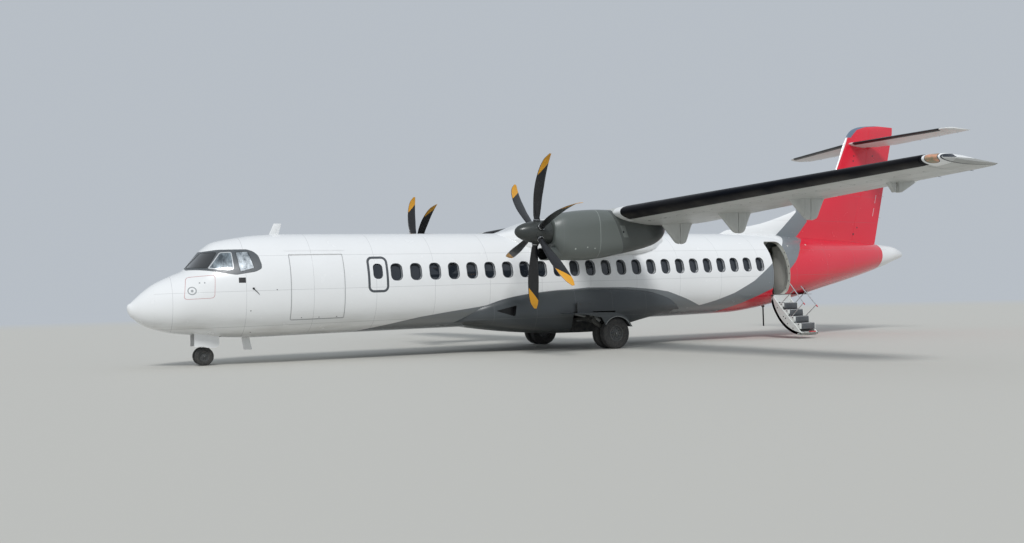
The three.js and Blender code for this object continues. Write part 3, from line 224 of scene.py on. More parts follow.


# Paint over metal sheet: thin seams, a little dirt, streaky darkening of surfaces that face down, partly dirt and
# partly painted shade, and a slightly wavy surface
def paintSurface(finish, colour, seams, grimeAndUndersideShade=0.35, rough=0.16):
    colour = finish.blend(finish.span(finish.noise(0.7, 5), 0.35, 0.75, 0, 0.05), colour, paint["grimeAndUndersideShade"])
    # Surfaces that face down are darkened in streaks: partly dirt, partly painted shade
    undersideShadeAndGrime = finish.span(finish.facing(), -0.35, -0.95, 0, grimeAndUndersideShade)
    streaks = finish.span(finish.noise(1.6, 6, (0.5, 1.2, 3)), 0.35, 0.7)
    colour = finish.blend(finish.both(undersideShadeAndGrime, streaks), colour, paint["grimeAndUndersideShade"])
    height = finish.both(finish.noise(9, 2), 0.45)
    if seams is not None:
        colour = finish.blend(finish.both(seams, 0.45), colour, paint["seam"])
        height = finish.minus(height, seams)
    finish.colour(colour)
    finish.roughness(finish.span(finish.noise(3, 4), 0.3, 0.7, rough, rough + 0.12))
    finish.bump(height, 0.7)


# Gloss polyurethane paint on riveted sheet: white above, a dark sweep, and a red tail
def makeLivery(name, turned=0.0):
    made = Finish(name, turned, Coat_Weight=0.5, Coat_Roughness=0.06, IOR=1.5)
    floorLevel = made.minus(made.z, made.both(made.station, floorSlope))
    seams = made.either(made.lines(made.station, 1.62, 0.007, 0.95), made.lines(floorLevel, 0.86, 0.007, 0.05))
    coneEdge = made.calc("MULTIPLY_ADD", made.z, 0.2, 24.99)
    colour = made.blend(belowEdge(made, sweepEdge), paint["white"], paint["grey"])
    colour = made.blend(belowEdge(made, redEdge), colour, paint["red"])
    colour = made.blend(made.above(made.station, coneEdge), colour, paint["white"])
    paintSurface(made, colour, seams)
    return made


livery = makeLivery("glossLiveryPaint")
stairLivery = makeLivery("glossLiveryPaintOnStair", -stairOpen)  # the same stripes, as if the stair were shut
# The same gloss paint on smooth composite, without sheet seams
whiteGloss = Finish("glossWhiteComposite", Coat_Weight=0.5, Coat_Roughness=0.06, IOR=1.5)
paintSurface(whiteGloss, paint["white"], None, 0.3)
bellyPaint = Finish("satinGreyComposite", IOR=1.5)
bellySeams = bellyPaint.either(bellyPaint.lines(bellyPaint.station, 1.25, 0.008, 0.4),
                               bellyPaint.near(bellyPaint.z, 0.93, 0.004))
paintSurface(bellyPaint, paint["belly"], bellySeams, 0.2, 0.28)

# slant and rear set the slanted edge of the painted wing shadow on the cowl
cowl = {
    "front": 9.62, "split": 10.65, "slant": 0.39, "rear": 12.417, "plate": (12.585, 3.11),
    "sootFrom": 11.9, "sootTo": 12.8, "strip": (10.9, 3.41), "mark": (11.345, 3.096, 0.03),
    "lights": [(9.93, 2.66, 0.02), (10.27, 2.7, 0.016), (10.49, 2.675, 0.016)],
}


# Nacelle: a bright split line, a painted wing shadow darkening the cowl behind a slanted line with a seam drawn along
# that edge, an access plate, and a sooty rear
def makeNacellePaint():
    made = Finish("satinNacellePaint", IOR=1.5)
    slanted = made.calc("MULTIPLY_ADD", made.z, cowl["slant"], made.station)
    # Painted shadow of the wing: the cowl behind the slanted line is darkened towards near-black
    colour = made.blend(made.both(made.above(slanted, cowl["rear"]), 0.45), paint["nacelle"], paint["rearDark"])
    # Exhaust sooting darkens the cowl towards its tail
    rearDark = made.span(made.station, cowl["sootFrom"], cowl["sootTo"], 0, 0.55)
    colour = made.blend(rearDark, colour, paint["rearDark"])
    plate = made.both(made.near(slanted, cowl["plate"][0], 0.075), made.near(made.z, cowl["plate"][1], 0.15))
    colour = made.blend(made.both(plate, 0.35), colour, "#8f9591")
    colour = made.blend(made.near(made.station, cowl["split"], 0.009), colour, "#858b87")
    colour = made.blend(made.discs([cowl["mark"]]), colour, paint["boot"])
    colour = made.blend(made.discs(cowl["lights"]), colour, "#b4b8b3")
    # A seam line runs along the edge of the painted wing shadow
    seams = made.near(slanted, cowl["rear"], 0.007)
    for station in (cowl["front"], cowl["split"] + 0.017):
        seams = made.either(seams, made.near(made.station, station, 0.0045))
    strip = made.both(made.near(made.z, cowl["strip"][1], 0.004), made.near(made.station, cowl["strip"][0], 0.25))
    paintSurface(made, colour, made.either(seams, strip), 0.1, 0.3)
    return made


nacellePaint = makeNacellePaint()
tailPaint = {
    "lead": [(3.0, 18.2), (3.49, 18.31), (3.87, 20.14), (4.42, 21.93), (4.8, 22.75), (5.25, 23.35), (5.81, 23.78),
             (7.18, 24.47), (7.43, 24.75), (7.57, 25.2), (7.65, 25.9)],  # the fin's leading edge, height and station
    "marks": [(24.577, 3.561, 0.04), (24.781, 3.806, 0.03), (25.685, 6.49, 0.03), (24.687, 6.437, 0.03),
              (24.641, 6.25, 0.03)],
    "strip": 0.045, "stripFrom": 4.95, "top": 0.2, "topFrom": 7.12, "slits": [(4.4, 0.15), (4.885, 0.155)],
}


# Red tail paint, with the white strip along the leading edge of the fin and the slits of the rudder's tab
def makeTailRed():
    made = Finish("glossTailPaint", Coat_Weight=0.4, Coat_Roughness=0.08, IOR=1.5)
    behindLead = made.minus(made.station, made.curve(made.z, tailPaint["lead"], (3, 8), (18, 27)))
    strip = made.both(made.below(behindLead, tailPaint["strip"]), made.above(made.z, tailPaint["stripFrom"]))
    top = made.both(made.below(behindLead, tailPaint["top"]), made.above(made.z, tailPaint["topFrom"]))
    colour = made.blend(belowEdge(made, sweepEdge), paint["white"], paint["grey"])
    colour = made.blend(belowEdge(made, redEdge), colour, paint["red"])
    colour = made.blend(strip, colour, paint["white"])
    colour = made.blend(top, colour, "#66788c")
    colour = made.blend(made.discs(tailPaint["marks"]), colour, "#4a2028")
    alongTrail = made.minus(made.station, made.both(made.z, 0.278))
    slits = made.either(*[made.near(made.z, *slit) for slit in tailPaint["slits"]])
    slits = made.both(slits, made.near(alongTrail, 24.475, 0.013))
    colour = made.blend(slits, colour, "#d8b9bc")
    paintSurface(made, colour, made.lines(made.z, 0.95, 0.006, 0.2), 0.1)
    return made


tailRed = makeTailRed()
wing = {"break": 4.95, "lead": 11.12, "sweep": 0.0525, "halfSpan": 13.525, "tipRows": 7}
wingMarks = {
    "bootRoot": 0.29, "bootTip": 0.215, "outerBoot": (4.72, 13.15), "innerBoot": (1.6, 3.45), "ring": (4.4, 4.72),
    "lens": (13.3, 0.07, 0.1, 0.14), "cap": 13.44, "capTop": 3.652, "coverPitch": 0.6, "coverLead": 0.62,
}


# Satin grey wing paint with black rubber de-icing boots, tip caps with a lens, and oval access covers below
def makeWingPaint():
    made = Finish("satinWingPaint", IOR=1.5)
    marks, out = wingMarks, made.out
    pastBreak = made.calc("MAXIMUM", made.minus(out, wing["break"]), 0)
    fromLead = made.minus(made.station, made.calc("MULTIPLY_ADD", pastBreak, wing["sweep"], wing["lead"]))

    def between(low, high):
        return made.both(made.above(out, low), made.below(out, high))

    bootDepth = made.span(out, wing["break"], 13.1, marks["bootRoot"], marks["bootTip"])
    bootMask = made.both(made.below(fromLead, bootDepth),
                         made.either(between(*marks["outerBoot"]), between(*marks["innerBoot"])))
    ring = made.both(made.below(fromLead, 0.42), between(*marks["ring"]))
    tip = made.both(made.below(fromLead, 0.4), made.above(out, marks["outerBoot"][1]))
    lensOut, lensLead, halfOut, halfLead = marks["lens"]
    lens = made.reach(made.share(out, lensOut, halfOut), made.share(fromLead, lensLead, halfLead))
    tipCap = made.above(out, marks["cap"])
    capLine = made.near(out, marks["cap"], 0.008)
    capTop = made.both(tipCap, made.above(made.z, marks["capTop"]))
    capDark = made.both(capTop, made.near(fromLead, 0.27, 0.13))
    capWhite = made.both(capTop, made.near(fromLead, 0.65, 0.25))
    step = made.calc("FRACT", made.calc("DIVIDE", out, marks["coverPitch"]))
    cover = made.reach(made.share(step, 0.5, 0.27), made.share(fromLead, marks["coverLead"], 0.075))
    coverRim = made.both(made.near(cover, 1, 0.16), made.near(out, 8.9, 3.9))
    coverSlot = made.both(made.below(cover, 0.12), made.near(out, 5.4, 0.6))
    coverMask = made.both(made.below(made.facing(), -0.3), made.either(made.both(coverRim, 0.45), coverSlot))
    seams = made.either(made.lines(out, 0.78, 0.007, 0.3),
                        made.both(made.lines(fromLead, 0.62, 0.007, 0.1), made.above(fromLead, 0.3)))
    colour = made.blend(made.either(ring, tip), paint["wingGrey"], paint["white"])
    colour = made.blend(made.span(made.noise(2.2, 5, (2.5, 0.6, 1)), 0.45, 0.75, 0, 0.25), colour, "#8f8f88")
    colour = made.blend(bootMask, colour, paint["boot"])
    colour = made.blend(coverMask, colour, "#3a3d3e")
    colour = made.blend(made.both(tipCap, 0.5), colour, "#8d8f8e")
    dark = made.either(capLine, made.either(made.near(lens, 1.1, 0.12), capDark))
    colour = made.blend(dark, colour, "#262b34")
    colour = made.blend(capWhite, colour, paint["white"])
    lensTone = made.blend(made.span(made.noise(9, 2), 0.4, 0.6), "#8f8a70", "#d59a7c")
    colour = made.blend(made.below(lens, 1), colour, lensTone)
    paintSurface(made, colour, made.both(seams, made.minus(1, bootMask)), 0.12, 0.3)
    made.tree.links.new(made.span(bootMask, 0, 1, 0.5, 0.04), made.shader.inputs["Specular IOR Level"])
    return made


wingPaint = makeWingPaint()


# Tailplane: white composite with black boots, bare tips
def makeTailWhite():
    made = Finish("satinTailplanePaint", IOR=1.5)
    lead = made.calc("MULTIPLY_ADD", made.out, 0.197, 24.48)
    boot = made.both(made.below(made.minus(made.station, lead), 0.13),
                     made.both(made.above(made.out, 0.22), made.below(made.out, 3.33)))
    paintSurface(made, made.blend(boot, "#d9dad8", paint["boot"]), None, 0.1, 0.28)
    return made


tailWhite = makeTailWhite()


# A single finish with a little variation in colour, gloss and surface
def plain(name, hexText, rough, metal=0.0, mottle=0.15, perMetre=14.0, bumpMm=0.3, **shader):
    made = Finish(name, Metallic=metal, **shader)
    made.colour(made.blend(made.span(made.noise(perMetre, 5), 0.3, 0.75, 0, mottle), hexText, paint["grimeAndUndersideShade"]))
    made.roughness(made.span(made.noise(perMetre * 2.3, 3), 0.3, 0.7, rough * 0.8, min(1, rough * 1.25)))
    made.bump(made.noise(perMetre * 6, 2), bumpMm)
    return made.material


cabinGlass = plain("cabinWindowAcrylic", "#1b222b", 0.06, mottle=0.05, perMetre=3, bumpMm=0.05,
                   Coat_Weight=0.6, IOR=1.49)
windowFrame = plain("windowFrameAluminium", "#c9ccce", 0.3, 0.2, 0.08)
cockpitGlass = plain("heatedCockpitGlass", "#12171c", 0.05, mottle=0.1, perMetre=2, bumpMm=0.05,
                     Coat_Weight=1.0, IOR=1.52)
maskPaint = plain("satinMaskPaint", "#51565a", 0.35, mottle=0.06)
darkOutline = plain("darkOutlinePaint", "#4b4f54", 0.35, mottle=0.05)
fineLine = plain("panelGapShadow", "#9a9d9f", 0.5, mottle=0.05)
hatchLine = plain("hatchLinePaint", "#c39a9a", 0.5, mottle=0.05)
blackPaint = plain("satinBlackPaint", "#17191c", 0.4, mottle=0.04)
rubberBlack = plain("wornTyreRubber", "#2a2b2d", 0.85, mottle=0.18, perMetre=22, bumpMm=0.8)
darkSteel = plain("greasySteel", "#4a4c4c", 0.4, 0.75, 0.3, 30)
chromeRod = plain("polishedOleoRod", "#c8cacb", 0.12, 1.0, 0.05, 20, 0.05)
gearGrey = plain("gearGreyPaint", "#8b8f90", 0.4, 0.1, 0.35, 18)
gearDark = plain("sootedGearPaint", "#3a3d3d", 0.5, 0.2, 0.3, 18)
wheelPaint = plain("castWheelPaint", "#45494c", 0.45, 0.3, 0.35, 25)
brightHub = plain("machinedHub", "#c2c4c5", 0.25, 0.9, 0.1, 25)
stairWhite = plain("gelcoatStairSide", paint["stairWhite"], 0.3, mottle=0.15, perMetre=6)
stairTread = plain("ribbedStairTread", "#4a4f55", 0.65, mottle=0.25, perMetre=25, bumpMm=1.2)
cabinTrim = plain("mouldedCabinTrim", "#cfcfc6", 0.45, mottle=0.12, perMetre=5)
cabinDark = plain("cabinCarpet", "#3d4147", 0.95, mottle=0.2, perMetre=60, bumpMm=2.0)
railSteel = plain("brushedHandRail", "#d5d7d8", 0.25, 0.9, 0.05, 20)
spinnerPaint = plain("satinSpinnerPaint", "#343837", 0.32, 0.1, 0.04, 8, 0.1)
curtain = plain("wovenCurtain", "#3f4a5c", 0.95, mottle=0.1, perMetre=30, bumpMm=3.0)
lightTrim = plain("galleyDoorLaminate", "#dedcd4", 0.4, mottle=0.08, perMetre=5)
redPaint = plain("redMarkerPaint", "#c2202e", 0.35, mottle=0.08)
bayGrey = plain("wheelBayPrimer", "#33373a", 0.7, 0.1, 0.3, 12)
lensWhite = plain("clearLens", "#e9ecee", 0.05, mottle=0.02, Coat_Weight=1.0)


# Silver sunshades behind the side panes: crumpled foil seen through glass
def makeFoil(name, dark, light, low, high):
    made = Finish(name, Coat_Weight=1.0, Coat_Roughness=0.03, Roughness=0.3, Metallic=0.2)
    folds = made.span(made.noise(2.6, 7, (2.2, 1, 1), 0.72), low, high)
    made.colour(made.blend(folds, dark, light))
    made.bump(folds, 4.0)
    return made


shadeFoil = makeFoil("foilSunshadeBehindGlass", "#323c43", "#97a5ad", 0.4, 0.72)
brightFoil = makeFoil("sunlitFoilBehindGlass", "#4b545b", "#c6ced3", 0.38, 0.62)


# Woven composite blades: satin black, with golden tips that end in a slant and a dark leading edge
def makeBladePaint():
    made = Finish("wovenBladePaint", Coat_Weight=0.25, Coat_Roughness=0.2)
    mapped = addNode(made.tree, "SeparateXYZ", {0: addNode(made.tree, "TexCoord").outputs["UV"]})
    along, radius = mapped.outputs[0], made.both(mapped.outputs[1], 2)
    shade = made.blend(made.span(made.noise(12, 4), 0.4, 0.7, 0, 0.15), "#131418", "#34363a")
    slant = made.minus(radius, made.both(along, 0.34))
    golden = made.both(made.above(slant, 1.39), made.above(along, 0.05))
    made.colour(made.blend(golden, shade, "#d99a1c"))
    made.roughness(made.span(made.noise(20, 3), 0.3, 0.7, 0.3, 0.45))
    made.bump(made.noise(300, 2), 0.15)
    return made.material


bladePaint = makeBladePaint()
print("materials ready")

# Shapes


# Smooth curve through the rows of a table, whose first column is the station
def curveThrough(table):
    def slope(k, column):
        a, b, c = table[max(k - 1, 0)], table[k], table[min(k + 1, len(table) - 1)]
        before = None if b is a else (b[column] - a[column]) / (b[0] - a[0])
        after = None if c is b else (c[column] - b[column]) / (c[0] - b[0])
        if before is None or after is None:
            return after if before is None else before
        return 0 if before * after <= 0 else 2 * before * after / (before + after)

    def at(x):
        k = next((i for i, row in enumerate(table) if row[0] >= x), len(table) - 1)
        k = max(k - 1, 0)
        low, high = table[k], table[k + 1]
        width = high[0] - low[0]
        t = (x - low[0]) / width
        result = []
        for i in range(1, len(low)):
            m0, m1 = slope(k, i) * width, slope(k + 1, i) * width
            result.append((2 * t ** 3 - 3 * t * t + 1) * low[i] + (t ** 3 - 2 * t * t + t) * m0
                          + (3 * t * t - 2 * t ** 3) * high[i] + (t ** 3 - t * t) * m1)
        return result
    return at


# Without repeats, in the order given
def unique(items):
    return list(dict.fromkeys(items))


# A grid bent round into a closed tube, with its two ends closed by faces
def wrapGrid(bm, rows, columns, place, slotIndex=0, mapped=None):
    facesBefore = len(bm.faces)
    made = bmesh.ops.create_grid(bm, x_segments=rows, y_segments=columns, size=1)
    spots = {vert: (round((vert.co.x + 1) / 2 * rows), round((vert.co.y + 1) / 2 * columns))
             for vert in made["verts"]}
    if mapped:
        layer = bm.loops.layers.uv.verify()
        for face in unique(f for vert in spots for f in vert.link_faces):
            for loop in face.loops:
                loop[layer].uv = mapped(*spots[loop.vert])
    for vert, (row, column) in spots.items():
        vert.co = place(row, column % columns)
    bmesh.ops.remove_doubles(bm, verts=made["verts"], dist=1e-6)
    bm.faces.ensure_lookup_table()
    faces = bm.faces[facesBefore:]
    rims = [e for e in unique(e for f in faces for e in f.edges) if e.is_boundary]
    if rims:
        faces = faces + bmesh.ops.holes_fill(bm, edges=rims, sides=0)["faces"]
    for face in faces:
        face.material_index = slotIndex
    bmesh.ops.recalc_face_normals(bm, faces=faces)
    return faces


def addLoft(bm, rings, slotIndex=0, mapped=None):
    return wrapGrid(bm, len(rings) - 1, len(rings[0]), lambda row, column: rings[row][column], slotIndex, mapped)


def addBox(bm, low, high, bevel=0.0, slotIndex=0):
    made = bmesh.ops.create_cube(bm, size=1)["verts"]
    low, high = Vector(low), Vector(high)
    bmesh.ops.scale(bm, vec=high - low, verts=made)
    bmesh.ops.translate(bm, vec=(high + low) / 2, verts=made)
    for face in unique(f for v in made for f in v.link_faces):
        face.material_index = slotIndex
    if bevel:
        edges = unique(e for v in made for e in v.link_edges)
        bmesh.ops.bevel(bm, geom=edges, offset=bevel, segments=2, affect="EDGES", profile=0.5, material=-1)


def addRod(bm, start, end, radius, endRadius=None, segments=20, slotIndex=0):
    start, end = Vector(start), Vector(end)
    along = end - start
    spot = Matrix.Translation((start + end) / 2) @ along.to_track_quat("Z", "Y").to_matrix().to_4x4()
    made = bmesh.ops.create_cone(bm, cap_ends=True, segments=segments, radius1=radius,
                                 radius2=radius if endRadius is None else endRadius,
                                 depth=along.length, matrix=spot)["verts"]
    for face in unique(f for v in made for f in v.link_faces):
        face.material_index = slotIndex
    return made


# A profile of (along, radius) points spun once round an axis
def addTurned(bm, profile, centre, axis, segments=48, slotIndex=0):
    facesBefore = len(bm.faces)
    centre, axis = Vector(centre), Vector(axis)
    outward = Vector((0, 0, 1)) if abs(axis.z) < 0.5 else Vector((1, 0, 0))
    verts = [bm.verts.new(centre + axis * along + outward * radius) for along, radius in profile]
    edges = [bm.edges.new(pair) for pair in zip(verts, verts[1:])]
    bmesh.ops.spin(bm, geom=verts + edges, cent=centre, axis=axis, angle=2 * math.pi, steps=segments,
                   use_merge=True)
    bm.faces.ensure_lookup_table()
    faces = bm.faces[facesBefore:]
    bmesh.ops.remove_doubles(bm, verts=unique(v for f in faces for v in f.verts), dist=1e-5)
    bm.faces.ensure_lookup_table()
    faces = bm.faces[facesBefore:]
    for face in faces:
        face.material_index = slotIndex
    bmesh.ops.recalc_face_normals(bm, faces=faces)


# A flat outline of points pushed along a direction into a solid
def addPrism(bm, outline, depth, slotIndex=0, bevel=0.0):
    verts = [bm.verts.new(point) for point in outline]
    edges = [bm.edges.new(pair) for pair in zip(verts, verts[1:] + verts[:1])]
    base = bmesh.ops.contextual_create(bm, geom=edges)["faces"]
    pushed = bmesh.ops.extrude_face_region(bm, geom=base)["geom"]
    bmesh.ops.translate(bm, vec=depth, verts=[g for g in pushed if isinstance(g, bmesh.types.BMVert)])
    faces = unique([f for v in verts for f in v.link_faces]
                   + [g for g in pushed if isinstance(g, bmesh.types.BMFace)])
    for face in faces:
        face.material_index = slotIndex
    bmesh.ops.recalc_face_normals(bm, faces=faces)
    if bevel:
        edges = unique(e for f in faces for e in f.edges)
        bmesh.ops.bevel(bm, geom=edges, offset=bevel, segments=2, affect="EDGES", profile=0.5, material=-1)


def onSide(points, y):
    return [(x, y, z) for x, z in points]


# A rounded rectangle in x and z, whose level edges follow the floor's slope
def roundedOutline(x0, x1, z0, z1, radius, rise=0.0, perCorner=6):
    points = []
    for cx, cz, start in ((x1 - radius, z1 - radius, 0), (x0 + radius, z1 - radius, 90),
                          (x0 + radius, z0 + radius, 180), (x1 - radius, z0 + radius, 270)):
        for k in range(perCorner + 1):
            angle = math.radians(start + 90 * k / perCorner)
            x = cx + radius * math.cos(angle)
            points.append((x, cz + radius * math.sin(angle) + (x - x0) * rise))
    return points


def solidFrom(bm, materials):
    mesh = bpy.data.meshes.new("solid")
    bm.to_mesh(mesh)
    bm.free()
    for material in materials:
        mesh.materials.append(material)
    made = bpy.data.objects.new("solid", mesh)
    scene.collection.objects.link(made)
    return made


def combine(body, tool, operation="DIFFERENCE"):
    modifier = body.modifiers.new("combine", "BOOLEAN")
    modifier.object, modifier.operation, modifier.solver = tool, operation, "EXACT"
    modifier.material_mode = "TRANSFER"
    result = bpy.data.meshes.new_from_object(body.evaluated_get(bpy.context.evaluated_depsgraph_get()))
    body.modifiers.clear()
    old, body.data = body.data, result
    bpy.data.meshes.remove(old)
    bpy.data.objects.remove(tool)
    return body


sharpAngle = 32  # edges bent by more degrees than this stay crisp


# Turns a bmesh or a solid into a named piece in the frame
def finishPiece(name, source, materials=None, rides="airframe", replaces=()):
    piece = solidFrom(source, materials) if isinstance(source, bmesh.types.BMesh) else source
    bm = bmesh.new()
    bm.from_mesh(piece.data)
    bmesh.ops.translate(bm, vec=(noseTip, 0, 0), verts=bm.verts)
    bm.to_mesh(piece.data)
    bm.free()
    piece.name = piece.data.name = name
    piece.data.polygons.foreach_set("use_smooth", [True] * len(piece.data.polygons))
    piece.data.set_sharp_from_angle(angle=math.radians(sharpAngle))
    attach(piece, rides)
    if replaces:
        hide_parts(*([replaces] if isinstance(replaces, str) else replaces))
    return piece


# Fuselage
# Columns: station, top, bottom, half width, waist height, lower fullness
fuselageTable = [
    (0.08, 1.58, 1.25, 0.17, 1.42, 2.0), (0.3, 1.8, 1.07, 0.4, 1.43, 2.0), (0.57, 2.015, 0.935, 0.61, 1.455, 2.0),
    (0.99, 2.23, 0.82, 0.85, 1.52, 2.1), (1.25, 2.345, 0.785, 0.965, 1.58, 2.1),
    (1.71, 2.88, 0.735, 1.12, 1.68, 2.2), (1.98, 3.06, 0.7, 1.2, 1.73, 2.3), (2.48, 3.17, 0.665, 1.31, 1.79, 2.4),
    (2.99, 3.245, 0.65, 1.38, 1.83, 2.5), (3.69, 3.29, 0.66, 1.425, 1.865, 2.6),
    (4.6, 3.308, 0.673, 1.432, 1.878, 2.6), (18.2, 3.492, 0.86, 1.432, 2.062, 2.6),
    (19.2, 3.5, 0.96, 1.43, 2.085, 2.6), (20.59, 3.475, 1.2, 1.395, 2.14, 2.5),
    (22.61, 3.37, 1.61, 1.11, 2.37, 2.3), (24.45, 3.285, 1.99, 0.76, 2.59, 2.1),
    (26.0, 3.165, 2.38, 0.41, 2.76, 2.0), (26.63, 3.1, 2.58, 0.27, 2.83, 2.0), (27.03, 2.96, 2.69, 0.13, 2.82, 2.0),
]
fuselageAt = curveThrough(fuselageTable)
hull = {"sides": 96, "start": 0.57, "end": 25.9, "noseEnd": 4.6, "noseStep": 0.07, "step": 0.3, "capRings": 9}


def crossSection(top, bottom, halfWidth, waist, fullness, grow=0.0):
    points = []
    for i in range(hull["sides"]):
        angle = 2 * math.pi * i / hull["sides"]
        up, out = math.cos(angle), math.sin(angle)
        power = 1 if up >= 0 else 2 / fullness
        rise = top - waist if up >= 0 else waist - bottom
        points.append(((halfWidth + grow) * math.copysign(abs(out) ** power, out),
                       (rise + grow) * math.copysign(abs(up) ** power, up)))
    return points


def hullRing(x, grow=0.0):
    row = fuselageAt(x)
    return [(x, y, row[3] + z) for y, z in crossSection(*row, grow)]


# Rings that round the hull off from a point to a station
def capRings(endStation, tipStation, tipHeight):
    row = fuselageAt(endStation)
    rings = []
    for k in range(hull["capRings"] + 1):
        share = k / hull["capRings"]
        x = tipStation + (endStation - tipStation) * share ** 2
        middle = tipHeight + (row[3] - tipHeight) * share ** 2
        rings.append([(x, y * share, middle + z * share) for y, z in crossSection(*row)])
    return rings


def stationsBetween(start, end, step):
    rows = {start, end} | {row[0] for row in fuselageTable if start < row[0] < end}
    count = round((end - start) / step)
    rows |= {start + (end - start) * k / count for k in range(1, count)}
    kept = [start]
    for x in sorted(rows)[1:]:
        if x - kept[-1] > step * 0.3 or x == end:
            kept.append(x)
    return kept


def hullSolid(start=hull["start"], end=hull["end"], grow=0.0, material=None):
    bm = bmesh.new()
    noseEnd = hull["noseEnd"]
    nose = stationsBetween(start, min(end, noseEnd), hull["noseStep"]) if start < noseEnd else [start]
    rest = stationsBetween(noseEnd, end, hull["step"])[1:] if end > noseEnd else []
    addLoft(bm, [hullRing(x, grow) for x in nose + rest])
    return solidFrom(bm, [material or livery.material])


doors = {
    "airstair": {"x0": 19.34, "x1": 20.075, "z0": 1.41, "z1": 3.18, "radius": 0.14, "thickness": 0.09},
    "cargo": {"x0": 3.63, "x1": 4.97, "z0": 1.08, "z1": 2.7, "radius": 0.03, "thickness": 0.08},
    "service": {"x0": 19.33, "x1": 19.94, "z0": 1.43, "z1": 2.65, "radius": 0.12, "thickness": 0.09},
    "exit": {"x0": 5.62, "x1": 6.11, "z0": 1.745, "z1": 2.61, "radius": 0.12, "thickness": 0.06},
}
lineGap = 0.001  # how much deeper a door's pocket is than its panel
cutter = {"out": 1.7, "deep": 0.9, "doorway": 0.7, "far": 1.8, "middle": 0.01}  # half widths that cutters reach
cabinWindow = {"firstStation": 6.37, "pitch": 0.54, "count": 24, "height": 2.24, "wide": 0.3, "tall": 0.43,
               "radius": 0.12, "depth": 0.075}


def doorOutline(name, inset=0.0):
    d = doors[name]
    return roundedOutline(d["x0"] + inset, d["x1"] - inset, d["z0"] + inset, d["z1"] - inset,
                          max(d["radius"] - inset, 0.02), floorSlope)


def slabs(outlines, nearY, farY, materials):
    bm = bmesh.new()
    for outline in outlines:
        addPrism(bm, onSide(outline, nearY), (0, farY - nearY, 0))
    return solidFrom(bm, materials)


def boxes(bounds, materials):
    bm = bmesh.new()
    for low, high in bounds:
        addBox(bm, low, high)
    return solidFrom(bm, materials)


def windowOutlines(grow=0.0):
    w = cabinWindow
    halfWide, halfTall = w["wide"] / 2, w["tall"] / 2
    outlines = []
    for k in range(w["count"]):
        x = w["firstStation"] + k * w["pitch"]
        z = w["height"] + floorSlope * k * w["pitch"]
        outlines.append(roundedOutline(x - halfWide - grow, x + halfWide + grow, z - halfTall - grow,
                                       z + halfTall + grow, w["radius"] + grow, 0, 5))
    return outlines


def prism(outline, depth, materials):
    bm = bmesh.new()
    addPrism(bm, outline, depth)
    return solidFrom(bm, materials)


# A cutter for a recess in one side, as deep below the skin as given
def pocket(outlines, side, depth, edge, floor, start, end):
    cut = slabs(outlines, side * cutter["out"], side * cutter["deep"], [edge])
    return combine(cut, hullSolid(grow=-depth, material=floor, start=start, end=end))


skinSolid = hullSolid()
for _, side in sides:
    skinSolid = combine(skinSolid, pocket(windowOutlines(), side, cabinWindow["depth"], windowFrame, cabinGlass,
                                          5.0, 20.5))
    skinSolid = combine(skinSolid, pocket([doorOutline("exit")], side, doors["exit"]["thickness"] + lineGap,
                                          windowFrame, bayGrey, 5.0, 7.0))
for name in ("airstair", "cargo"):
    skinSolid = combine(skinSolid, slabs([doorOutline(name)], -cutter["out"], -cutter["doorway"], [cabinTrim]))
skinSolid = combine(skinSolid, pocket([doorOutline("service")], 1, doors["service"]["thickness"] + lineGap,
                                      cabinTrim, bayGrey, 19, 21))
vestibule = combine(hullSolid(grow=-0.12, material=cabinTrim, start=18, end=22),
                    boxes([((19.12, -1.5, 1.4), (21.3, 1.2, 3.23))], [cabinTrim]), "INTERSECT")
skinSolid = combine(skinSolid, vestibule)
wheelWells = [((11.56, side * 1.35 - 0.45, 0.3), (12.98, side * 1.35 + 0.45, 1.06)) for _, side in sides]
skinSolid = combine(skinSolid, boxes([
    ((3.64, -1.0, 1.09), (4.96, 1.0, 2.68)), ((1.44, -0.32, 0.3), (2.12, 0.32, 1.18)), *wheelWells], [bayGrey]))
finishPiece("fuselage_skin", skinSolid, replaces="fuselage")

bm = bmesh.new()
addLoft(bm, capRings(0.08, 0, 1.47) + [hullRing(x) for x in stationsBetween(0.08, 0.5697, 0.05)[1:]])
finishPiece("radome_shell", bm, [whiteGloss.material], replaces="radome")
bm = bmesh.new()
addLoft(bm, [hullRing(x) for x in stationsBetween(25.9003, 27.03, 0.08)]
        + capRings(27.03, overallLength, 2.8)[-2::-1])
finishPiece("tail_cone_shell", bm, [whiteGloss.material], replaces="tail_cone")
print("fuselage made")

# Doors, exits and markings on the skin


# The part of a layer of the skin, between two depths, that lies behind some outlines
def shellPart(outlines, side, low, high, material, start, end, inside=None, edge=None):
    part = slabs(outlines, side * 1.75, side * 0.02, [edge or material])
    part = combine(part, hullSolid(grow=high, material=material, start=start, end=end), "INTERSECT")
    return combine(part, hullSolid(grow=low, material=inside or material, start=start, end=end))


# The two edges of a frame round a door: how far out it starts, its corner radius and its width
def doorFrame(name, out, radius, width):
    d = doors[name]
    x0, x1, z0, z1 = d["x0"] - out, d["x1"] + out, d["z0"] - out, d["z1"] + out
    return (roundedOutline(x0, x1, z0, z1, radius, floorSlope),
            roundedOutline(x0 + width, x1 - width, z0 + width, z1 - width, max(radius - width, 0.005), floorSlope))


# A slab through one whole side of the hull
def inward(outlines, side, material):
    return slabs(outlines, side * cutter["far"], side * cutter["middle"], [material])


def ringPatch(name, outer, inner, side, grow, material):
    x0, x1 = min(p[0] for p in outer) - 0.3, max(p[0] for p in outer) + 0.3
    patch = shellPart([outer], side, -0.02, grow, material, max(x0, hull["start"]), x1)
    finishPiece(name, combine(patch, inward([inner], side, material)))


